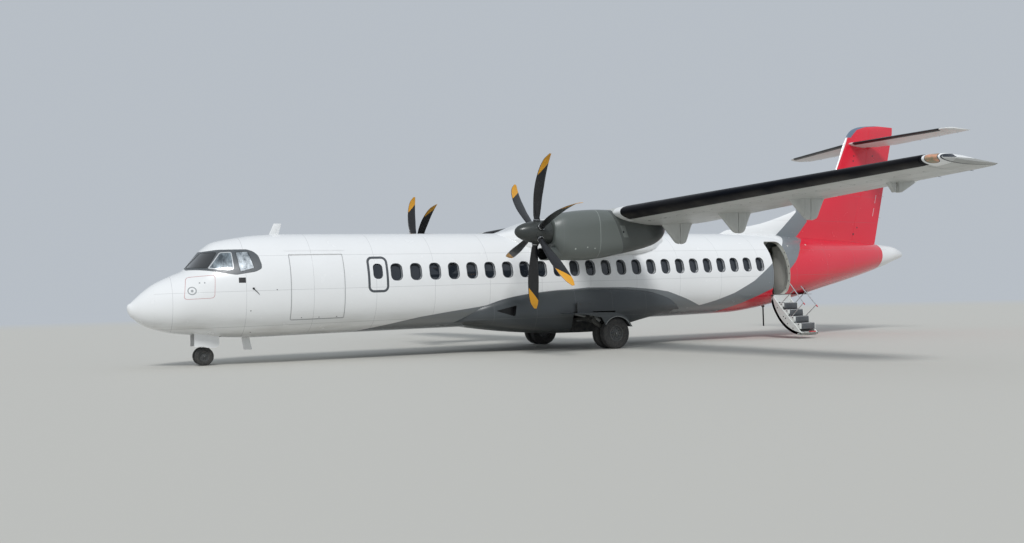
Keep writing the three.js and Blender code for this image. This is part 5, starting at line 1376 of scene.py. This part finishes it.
# Steps: dark boxes between light end pieces, and the foot board
bm = bmesh.new()
capFront, capRear = frontX + stair["inset"] + stair["cap"], rearX - stair["inset"] - stair["cap"] * 0.5
for k in range(stair["steps"]):
    y, z = stepPlace(k)
    addBox(bm, (capFront, y - stair["depth"], z - stair["thick"]), (capRear, y, z - 0.006), 0.012)
finishPiece("stair_steps", stairLimits(solidFrom(bm, [stairTread])), rides="airstair")
bm = bmesh.new()
for k in range(stair["steps"]):
    y, z = stepPlace(k)
    for x0, x1 in ((frontX + stair["inset"], capFront), (capRear, rearX - stair["inset"])):
        addBox(bm, (x0, y - stair["depth"] + 0.012, z - stair["thick"] + 0.006), (x1, y, z - 0.014), 0.004)
        addRod(bm, (x0 - 0.0015, y - 0.19, z - 0.055), (x1, y - 0.19, z - 0.055), 0.022, None, 20, 1)
addBox(bm, (frontX + stair["inset"], stair["footY"] - stair["footDepth"], stair["footTop"] - stair["footThick"]),
       (rearX - stair["inset"], stair["footY"], stair["footTop"]), 0.008)
finishPiece("stair_step_ends", stairLimits(solidFrom(bm, [stairWhite, blackPaint])), rides="airstair")
# Ribbed treads with a light nosing, and the red marker on the foot board
bm = bmesh.new()
for k in range(stair["steps"]):
    y, z = stepPlace(k)
    for rib in range(stair["ribs"]):
        at = y - 0.025 - rib * 0.027
        addBox(bm, (capFront + 0.02, at - 0.006, z - 0.008), (capRear - 0.02, at + 0.006, z - 0.001))
    front = y - stair["depth"]
    addBox(bm, (capFront + 0.004, front - 0.002, z - 0.022), (capRear - 0.004, front + 0.02, z - 0.003), 0.002, 1)
addBox(bm, (19.74, -2.56, stair["footTop"] - 0.004), (19.95, -2.46, stair["footTop"] + 0.03), 0.008, 2)
finishPiece("stair_treads", bm, [stairTread, railSteel, redPaint], rides="airstair")
# Holes along the near side plate, with a gas strut inside it
bm = bmesh.new()
for x0, x1 in ((frontX + 0.0065, frontX + 0.0085), (rearX - 0.0085, rearX - 0.0065)):
    for y, z in ((-1.513, 0.984), (-1.773, 0.703), (-1.861, 0.645), (-1.942, 0.475), (-2.179, 0.332), (-2.5, 0.16)):
        addRod(bm, (x0, y, z), (x1, y, z), 0.02, None, 16)
finishPiece("stair_side_holes", bm, [blackPaint], rides="airstair")
bm = bmesh.new()
x = frontX + stair["inset"] + 0.025
addRod(bm, (x, -1.56, 1.16), (x, -2.0, 0.752), 0.02, None, 24, 0)
addRod(bm, (x, -2.0, 0.752), (x, -2.40, 0.38), 0.012, None, 24, 1)
finishPiece("stair_gas_strut", bm, [blackPaint, chromeRod], rides="airstair")
# Each rail's station, and the y and z of its upper and lower end
railSpecs = {"front": (frontX + 0.0686, -2.06, 1.74, -2.65, 1.08), "rear": (rearX - 0.0686, -1.93, 1.66, -2.6, 1.0)}
railPosts = [(0.27, -1.6, 1.09), (0.92, -2.06, 0.68)]  # share of the rail's length, and the foot in y and z
for name, (x, y0, z0, y1, z1) in railSpecs.items():
    bm = bmesh.new()
    addRod(bm, (x, y0, z0), (x, y1, z1), 0.016, None, 24, 0)
    bmesh.ops.create_uvsphere(bm, u_segments=20, v_segments=10, radius=0.016, matrix=Matrix.Translation((x, y0, z0)))
    for share, footY, footZ in railPosts:
        addRod(bm, (x, y0 + (y1 - y0) * share, z0 + (z1 - z0) * share), (x, footY, footZ), 0.012, 0.012, 20, 0)
    low, high = Vector((x, y1, z1)), Vector((x, y0, z0))
    along = (high - low).normalized()
    addRod(bm, low - along * 0.003, low + along * 0.07, 0.018, 0.018, 24, 1)
    finishPiece("stair_rail_tube_" + name, bm, [railSteel, redPaint], rides="airstair",
                replaces="stair_rail_" + name)
# Doorway: floor, sill, partition, lockers and the bulkhead with its curtain
bm = bmesh.new()
fittingsFinish = [cabinDark, railSteel, cabinTrim, darkSteel, curtain, lightTrim]
addBox(bm, (19.14, -1.14, 1.4005), (21.28, 1.16, 1.412), 0, 0)
addBox(bm, (frontX + 0.015, -1.33, 1.4105), (rearX - 0.015, -1.13, 1.4165), 0.002, 1)
addBox(bm, (20.33, -1.06, 1.413), (20.37, -0.345, 3.05), 0.008, 2)
addBox(bm, (20.325, -1.0, 1.55), (20.331, -0.42, 2.9), 0.004, 5)
addBox(bm, (21.24, -0.95, 1.413), (21.295, 0.95, 3.1), 0.01, 2)
addBox(bm, (19.123, -0.42, 1.43), (19.16, 0.42, 3.05), 0.01, 4)
addBox(bm, (20.4, 0.5, 1.413), (21.15, 1.05, 2.9), 0.02, 2)
for shelf in range(4):
    addBox(bm, (20.45, 0.488, 1.5 + shelf * 0.34), (21.10, 0.499, 1.8 + shelf * 0.34), 0.004, 5)
for z in (1.62, 1.86, 2.1, 2.34, 2.58, 2.8):
    row = fuselageAt(rearX)
    share = math.sqrt(max(0, 1 - ((z - row[3]) / ((row[0] if z > row[3] else row[1]) - row[3])) ** 2))
    y = -row[2] * share + 0.05
    addBox(bm, (rearX - 0.004, y - 0.014, z - 0.02), (rearX + 0.01, y + 0.014, z + 0.02), 0.002, 3)
finishPiece("vestibule_fittings", bm, fittingsFinish)
bm = bmesh.new()
addRod(bm, (frontX + 0.008, hingeY, hingeZ), (rearX - 0.008, hingeY, hingeZ), 0.024, 0.036, 32)
finishPiece("stair_hinge_bar", bm, [darkSteel])
bm = bmesh.new()
cargoAt = [(x, -1.167, 2.704 + (x - doors["cargo"]["x0"]) * floorSlope) for x in (3.638, 4.962)]
addRod(bm, *cargoAt, 0.022, None, 24)
finishPiece("cargo_hinge_bar", bm, [whiteGloss.material])
print("stair made")

# Landing gear
tyres = {
    "nose": {"radius": 0.225, "width": 0.16, "apart": 0.175, "rim": 0.12, "station": 1.74, "axle": 0.03,
             "bearing": 0.07, "grooves": (-0.03, 0, 0.03)},
    "main": {"radius": 0.432, "width": 0.25, "apart": 0.205, "rim": 0.215, "station": 12.51, "axle": 0.048,
             "bearing": 0.072, "grooves": (-0.062, -0.021, 0.021, 0.062)},
    "grooveWidth": 0.008, "grooveDepth": 0.006, "halfTrack": 2.05,
}


def tyreProfile(spec):
    radius, half, rim = spec["radius"], spec["width"] / 2, spec["rim"]
    wall = radius - rim
    side = smoothLine([(half * 0.72, rim), (half * 0.93, rim + wall * 0.16), (half * 0.99, rim + wall * 0.42),
                       (half * 0.95, rim + wall * 0.7), (half * 0.8, rim + wall * 0.93),
                       (half * 0.62, radius - 0.001), (half * 0.5, radius)], 3)
    tread = []
    for centre in reversed(spec["grooves"]):
        edge, deep = tyres["grooveWidth"] / 2, radius - tyres["grooveDepth"]
        tread += [(centre + edge, radius), (centre + edge * 0.8, deep), (centre - edge * 0.8, deep),
                  (centre - edge, radius)]
    other = [(-a, r) for a, r in reversed(side)]
    return side + tread + other + [side[0]]


# A closed profile of (along y, radius) points spun round an axle along y
def addRing(bm, profile, centre, segments):
    facesBefore = len(bm.faces)
    verts = [bm.verts.new((centre[0], centre[1] + a, centre[2] + r)) for a, r in profile]
    edges = [bm.edges.new(pair) for pair in zip(verts, verts[1:] + verts[:1])]
    bmesh.ops.spin(bm, geom=verts + edges, cent=centre, axis=(0, 1, 0), angle=2 * math.pi, steps=segments,
                   use_merge=True)
    bm.faces.ensure_lookup_table()
    bmesh.ops.recalc_face_normals(bm, faces=bm.faces[facesBefore:])


def addTyre(bm, spec, y):
    addRing(bm, tyreProfile(spec)[:-1], (spec["station"], y, spec["radius"]), 72)


# One rim, its bolts, drive slots and grease cap; outward says which way its face looks
def addHub(bm, kind, y, outward):
    spec = tyres[kind]
    x, z, half, rim = spec["station"], spec["radius"], spec["width"] / 2, spec["rim"]
    outline = [(0.70, 1.0), (0.78, 1.04), (0.78, 0.97), (0.62, 0.9), (0.38, 0.84), (0.30, 0.6), (0.34, 0.42),
               (0.55, 0.36), (0.60, 0.3), (0.60, 0)]
    points = [(-half * 0.62, 0), (-half * 0.62, rim * 0.995), (half * 0.6, rim * 0.995)]
    points += [(half * a, rim * r) for a, r in outline]
    if outward < 0:
        points = [(-a, r) for a, r in points]
    addTurned(bm, points, (x, y, z), (0, 1, 0), 48, 0)
    face = y + outward * half * 0.34
    for k in range(10):
        angle = 2 * math.pi * k / 10
        px, pz = x + rim * 0.72 * math.sin(angle), z + rim * 0.72 * math.cos(angle)
        addRod(bm, (px, face - outward * 0.01, pz), (px, face + outward * 0.012, pz), rim * 0.045, rim * 0.04, 6, 1)
        angle += math.pi / 10
        px, pz = x + rim * 0.62 * math.sin(angle), z + rim * 0.62 * math.cos(angle)
        slot = (px, face - outward * 0.006, pz), (px, face + outward * 0.0045, pz)
        addRod(bm, *slot, rim * 0.075, rim * 0.075, 12, 2)
    cap = y + outward * half * 0.58
    addRod(bm, (x, cap - outward * 0.01, z), (x, cap + outward * 0.022, z), rim * 0.22, rim * 0.17, 24, 1)
    addRod(bm, (x, cap + outward * 0.02, z), (x, cap + outward * 0.03, z), rim * 0.08, rim * 0.06, 16, 3)


def addWheelPair(bm, kind, centreY):
    spec = tyres[kind]
    x, z = spec["station"], spec["radius"]
    for outward in (-1, 1):
        y = centreY + outward * spec["apart"]
        addHub(bm, kind, y, outward)
        inner = centreY + outward * (spec["bearing"] + 0.008)
        outer = y - outward * spec["width"] * 0.3
        addRod(bm, (x, inner, z), (x, outer, z), spec["rim"] * 0.38, spec["rim"] * 0.5, 32, 2)
    addRod(bm, (x, centreY - spec["apart"], z), (x, centreY + spec["apart"], z), spec["axle"], None, 24, 1)


wheelSlots = [wheelPaint, darkSteel, blackPaint, brightHub]
bm = bmesh.new()
addWheelPair(bm, "nose", 0)
finishPiece("nose_wheel_hubs", bm, wheelSlots, rides="nose_wheels", replaces="nose_wheels")
for name, side in sides:
    bm = bmesh.new()
    addTyre(bm, tyres["nose"], side * tyres["nose"]["apart"])
    finishPiece("nose_tyre_" + name + "_rubber", bm, [rubberBlack], rides="nose_wheels",
                replaces="nose_tyre_" + name)
    bm = bmesh.new()
    addWheelPair(bm, "main", side * tyres["halfTrack"])
    finishPiece("main_wheel_hubs_" + name, bm, wheelSlots, rides="main_wheels_" + name,
                replaces="main_wheels_" + name)
    for place, inOrOut in (("inner", -1), ("outer", 1)):
        bm = bmesh.new()
        addTyre(bm, tyres["main"], side * (tyres["halfTrack"] + inOrOut * tyres["main"]["apart"]))
        finishPiece("main_tyre_" + place + "_" + name + "_rubber", bm, [rubberBlack], rides="main_wheels_" + name,
                    replaces="main_tyre_" + place + "_" + name)

# Nose leg, with its brace, steering collar, links, taxi light and pipes
bm = bmesh.new()
addRod(bm, (1.74, 0, 0.62), (1.74, 0, 1.1797), 0.062, None, 40, 0)
addRod(bm, (1.74, 0, 0.62), (1.74, 0, 0.69), 0.07, 0.07, 40, 1)
addRod(bm, (1.74, 0, 0.84), (1.74, 0, 0.88), 0.069, 0.069, 40, 0)
addRod(bm, (1.74, 0, 0.82), (1.5, 0, 1.1797), 0.032, None, 24, 0)
addRod(bm, (1.74, -0.15, 1.08), (1.74, 0.15, 1.08), 0.04, None, 24, 0)
for side in (-1, 1):
    addRod(bm, (1.74, side * 0.068, 0.66), (1.70, side * 0.068, 1.15), 0.008, None, 12, 2)
    addRod(bm, (1.74, side * 0.14, 1.08), (1.55, side * 0.1, 1.16), 0.018, None, 16, 1)
    addRod(bm, (1.66, side * 0.03, 0.71), (1.66, side * 0.13, 0.71), 0.014, None, 16, 1)
addRod(bm, (1.69, 0, 0.93), (1.615, 0, 0.93), 0.05, 0.062, 32, 1)
addRod(bm, (1.6155, 0, 0.93), (1.607, 0, 0.93), 0.055, 0.05, 32, 3)
finishPiece("nose_leg_strut", bm, [gearGrey, darkSteel, blackPaint, lensWhite], replaces="nose_leg")
bm = bmesh.new()
addRod(bm, (1.74, 0, 0.225), (1.74, 0, 0.6197), 0.046, None, 40, 0)
addRod(bm, (1.74, -0.07, 0.225), (1.74, 0.07, 0.225), 0.062, None, 32, 1)
addRod(bm, (1.74, 0, 0.25), (1.74, 0, 0.33), 0.062, 0.052, 32, 1)
addRod(bm, (1.74, 0, 0.565), (1.74, 0, 0.6), 0.064, 0.064, 40, 1)
for start, end in (((1.79, 0, 0.30), (1.90, 0, 0.44)), ((1.90, 0, 0.44), (1.79, 0, 0.585))):
    for y in (-0.032, 0.032):
        addRod(bm, (start[0], y, start[2]), (end[0], y * 0.45, end[2]), 0.012, 0.010, 16, 1)
addRod(bm, (1.90, -0.03, 0.44), (1.90, 0.03, 0.44), 0.013, None, 16, 1)
for z in (0.30, 0.585):
    addBox(bm, (1.75, -0.04, z - 0.014), (1.80, 0.04, z + 0.014), 0.005, 1)
finishPiece("nose_fork_piston", bm, [chromeRod, gearGrey], rides="nose_steering", replaces="nose_fork")
# Nose gear doors
for name, side in sides:
    corners = [(1.49, 0.9), (1.49, 0.46), (1.62, 0.485), (1.82, 0.44), (2.02, 0.44), (2.08, 0.52), (2.08, 0.9)]
    outline = roundCorners(corners, 0.04)
    plate = prism(onSide(outline, side * 0.342 - 0.007), (0, 0.014, 0), [whiteGloss.material])
    plate = combine(plate, hullSolid(grow=0.0003, material=whiteGloss.material, start=0.9, end=3))
    finishPiece("nose_gear_door_" + name, plate, replaces="nose_door_" + name)
bm = bmesh.new()
for side in (-1, 1):
    for x in (1.6, 1.95):
        addRod(bm, (x, side * 0.334, 0.62), (x, side * 0.27, 0.86), 0.011, None, 16)
finishPiece("nose_door_links", bm, [darkSteel])


# Part of a circle round the main wheel, in degrees up from the rear
def archPoints(radius, sweep):
    x, z = tyres["main"]["station"], tyres["main"]["radius"]
    return [(x + radius * math.cos(math.radians(a)), z + radius * math.sin(math.radians(a))) for a in sweep]


# Main gear: leg, trailing arm, shock strut, brakes and pipes
for name, side in sides:
    def at(x, y, z):
        return (x, side * y, z)
    bm = bmesh.new()
    addRod(bm, at(11.9, 1.1, 0.94), at(11.9, 2.05, 0.88), 0.1, 0.085, 32)
    addRod(bm, at(11.7, 1.1, 0.94), at(12.2, 1.1, 0.94), 0.09, None, 32)
    addRod(bm, at(11.9, 2.05, 0.9), at(11.9, 2.05, 1.0097), 0.07, None, 32)
    addRod(bm, at(11.72, 1.16, 0.88), at(11.9, 1.9, 0.82), 0.042, None, 24)
    addRod(bm, at(11.93, 2.05, 0.95), at(12.14, 2.05, 0.80), 0.062, 0.062, 32, 1)
    addRod(bm, at(12.13, 2.05, 0.81), at(12.32, 2.05, 0.66), 0.04, 0.04, 32, 2)
    addRod(bm, at(11.95, 1.1, 0.94), at(11.95, 1.1, 1.0597), 0.07, None, 24)
    addRod(bm, at(11.86, 1.3, 0.80), at(12.22, 1.95, 0.86), 0.022, None, 20, 1)
    for offset in (-0.02, 0.02, 0.045):
        addRod(bm, at(11.9 + offset, 1.2, 0.83), at(11.9 + offset, 2.0, 0.775), 0.008, None, 12, 3)
    addRod(bm, at(11.62, 1.45, 1.0), at(11.92, 1.95, 0.9), 0.03, None, 20, 1)
    finishPiece("main_leg_strut_" + name, bm, [gearDark, gearGrey, chromeRod, blackPaint],
                replaces="main_leg_" + name)
    bm = bmesh.new()
    addRod(bm, at(11.9, 1.955, 0.82), at(11.9, 2.145, 0.82), 0.075, None, 32)
    addRod(bm, at(11.9, 2.05, 0.82), at(12.51, 2.05, 0.432), 0.068, 0.06, 32)
    addRod(bm, at(12.51, 1.978, 0.432), at(12.51, 2.122, 0.432), 0.098, None, 40)
    pairs = list(zip(at(12.24, 2.02, 0.60), at(12.36, 2.08, 0.70)))
    addBox(bm, [min(p) for p in pairs], [max(p) for p in pairs], 0.012)
    for offset in (-0.03, 0.03):
        addRod(bm, at(11.95, 2.05 + offset, 0.865), at(12.44, 2.05 + offset, 0.555), 0.008, None, 12, 1)
    finishPiece("main_arm_beam_" + name, bm, [gearDark, blackPaint], replaces="main_arm_" + name)
    upper = [(11.12, 1.01), (12.02, 1.01), (12.35, 1.005), (12.62, 0.955), (12.83, 0.85), (12.985, 0.61)]
    smooth = smoothLine(upper, 4)
    roof = [(x, z + 0.024) for x, z in smooth[:-1]] + [(13.009, 0.61)] + [tuple(p) for p in reversed(smooth)]
    arch = archPoints(0.468, range(22, 152, 5))
    skirt = [(x, z + 0.001) for x, z in smooth[:-1]] + [(12.975, 0.615)] + arch + [(11.98, 0.9), (11.5, 0.98)]
    bm = bmesh.new()
    addPrism(bm, [at(x, 1.69, z) for x, z in roof], (0, side * 0.735, 0))
    addPrism(bm, [at(x, 2.401, z) for x, z in skirt], (0, side * 0.024, 0))
    root = ((11.64, 1.01), (12.16, 1.01), (12.16, 1.33), (11.64, 1.33))
    addPrism(bm, [at(x, 1.69, z) for x, z in root], (0, side * 0.024, 0))
    rim = archPoints(0.468, range(22, 152, 5)) + archPoints(0.486, range(148, 18, -5))
    addPrism(bm, [at(x, 2.4255, z) for x, z in rim], (0, side * 0.006, 0), 1)
    finishPiece("leg_door_shell_" + name, bm, [bellyPaint.material, gearGrey], replaces="leg_door_" + name)
    bm = bmesh.new()
    for x in (11.75, 12.05):
        addRod(bm, at(x, 1.72, 1.28), at(x, 1.55, 1.24), 0.02, None, 16)
    for k in range(4):
        addRod(bm, at(11.635, 1.70, 1.08 + k * 0.06), at(11.635, 1.655, 1.08 + k * 0.06), 0.02, None, 12)
    finishPiece("leg_door_hinges_" + name, bm, [darkSteel])
print("gear made")

# Tail rod, antennas, probes, lights and static wicks
bm = bmesh.new()
addRod(bm, (20.15, 0, 0.35), (20.15, 0, 1.2), 0.024, None, 24, 0)
addRod(bm, (20.15, 0, 1.0), (20.15, 0, 1.25), 0.048, 0.05, 32, 1)
addRod(bm, (20.15, -0.06, 1.03), (20.15, 0.06, 1.03), 0.018, None, 20, 1)
finishPiece("tail_rod_strut", bm, [blackPaint, darkSteel], replaces="tail_rod")
bm = bmesh.new()
antennaHalf = 0.013
for outline in ([(3.39, 3.24), (3.53, 3.57), (3.73, 3.57), (3.64, 3.24)],
                [(2.67, 0.7), (2.73, 0.34), (2.94, 0.34), (2.86, 0.7)]):
    outline = onSide(roundCorners(outline, 0.03), -antennaHalf)
    addPrism(bm, outline, (0, 2 * antennaHalf, 0), bevel=antennaHalf * 0.6)
finishPiece("blade_antennas", bm, [whiteGloss.material])
bm = bmesh.new()
for side in (-1, 1):
    addRod(bm, (2.731, side * 1.335, 1.864), (2.731, side * 1.372, 1.866), 0.028, 0.022, 24, 1)
    addRod(bm, (2.731, side * 1.368, 1.864), (2.862, side * 1.385, 1.723), 0.009, 0.004, 12, 1)
    for x, y, z in ((2.671, 1.273, 1.326), (3.282, 1.405, 1.826), (2.741, 0.809, 0.802)):
        addRod(bm, (x, side * (y - 0.01), z), (x, side * (y + 0.004), z), 0.014, 0.012, 16, 1)
    for x in (3.9, 4.34, 4.79):
        addRod(bm, (x, side * 1.235, 1.13), (x, side * 1.258, 1.127), 0.014, 0.012, 16, 1)
finishPiece("probes", bm, [railSteel, blackPaint])
# Static wicks behind the trailing edges
for name, side in sides:
    bm = bmesh.new()
    for halfSpan in (10.4, 11.3, 12.2, 12.9):
        row = wingRow(halfSpan)
        x, z = row[1] + row[3], row[4]
        addRod(bm, (x - 0.03, side * halfSpan, z), (x + 0.09, side * halfSpan, z - 0.004), 0.0045, 0.003, 10)
    finishPiece("aileron_wicks_" + name, bm, [blackPaint], rides="aileron_" + name)
    bm = bmesh.new()
    for halfSpan in (1.6, 2.4, 3.1):
        y, z = side * halfSpan, tailShape["height"]
        addRod(bm, (26.36, y, z), (26.47, y, z), 0.004, 0.003, 10)
    finishPiece("elevator_wicks_" + name, bm, [blackPaint], rides="elevator_" + name)
bm = bmesh.new()
for z in (4.2, 5.0, 5.8):
    x = finTrail(z)
    addRod(bm, (x - 0.03, 0, z), (x + 0.1, 0, z + 0.004), 0.0045, 0.003, 10)
finishPiece("rudder_wicks", bm, [blackPaint], rides="rudder")
print("small parts made")

# Floor, light and background
scene.view_settings.view_transform = "Standard"
stage = {"floor": "#c4c2bb", "sky": "#dde5ee", "skyStrength": 0.66, "sunFrom": (-0.5, -0.85, 1.0), "sunAngle": 16,
         "sunStrength": 1.9, "reach": 400, "fadeFrom": 55, "fadeTo": 130}

# The floor melts into the background far away
floorFinish = Finish("paleFloor", Roughness=0.8)
floorFinish.colour(stage["floor"])
tree = floorFinish.tree
away = addNode(tree, "VectorMath", {0: floorFinish.place}, operation="LENGTH").outputs["Value"]
haze = addNode(tree, "Emission", {"Color": colourOf(stage["sky"]), "Strength": stage["skyStrength"]}).outputs[0]
share = addNode(tree, "MapRange", {0: away, 1: stage["fadeFrom"], 2: stage["fadeTo"]},
                interpolation_type="SMOOTHSTEP").outputs[0]
mixed = addNode(tree, "MixShader", {0: share, 1: floorFinish.shader.outputs[0], 2: haze}).outputs[0]
tree.links.new(mixed, tree.nodes["Material Output"].inputs["Surface"])
bm = bmesh.new()
bmesh.ops.create_grid(bm, x_segments=1, y_segments=1, size=stage["reach"])
mesh = bpy.data.meshes.new("floor")
bm.to_mesh(mesh)
bm.free()
mesh.materials.append(floorFinish.material)
floor = bpy.data.objects.new("floor", mesh)
scene.collection.objects.link(floor)
world = bpy.data.worlds.new("softStudio")
world.use_nodes = True
world.node_tree.nodes["Background"].inputs["Color"].default_value = colourOf(stage["sky"])
world.node_tree.nodes["Background"].inputs["Strength"].default_value = stage["skyStrength"]
scene.world = world
light = bpy.data.lights.new("keyLight", "SUN")
light.energy, light.angle = stage["sunStrength"], math.radians(stage["sunAngle"])
key = bpy.data.objects.new("keyLight", light)
key.location = Vector(stage["sunFrom"]) * 30
key.rotation_euler = (-key.location).to_track_quat("-Z", "Y").to_euler()
scene.collection.objects.link(key)
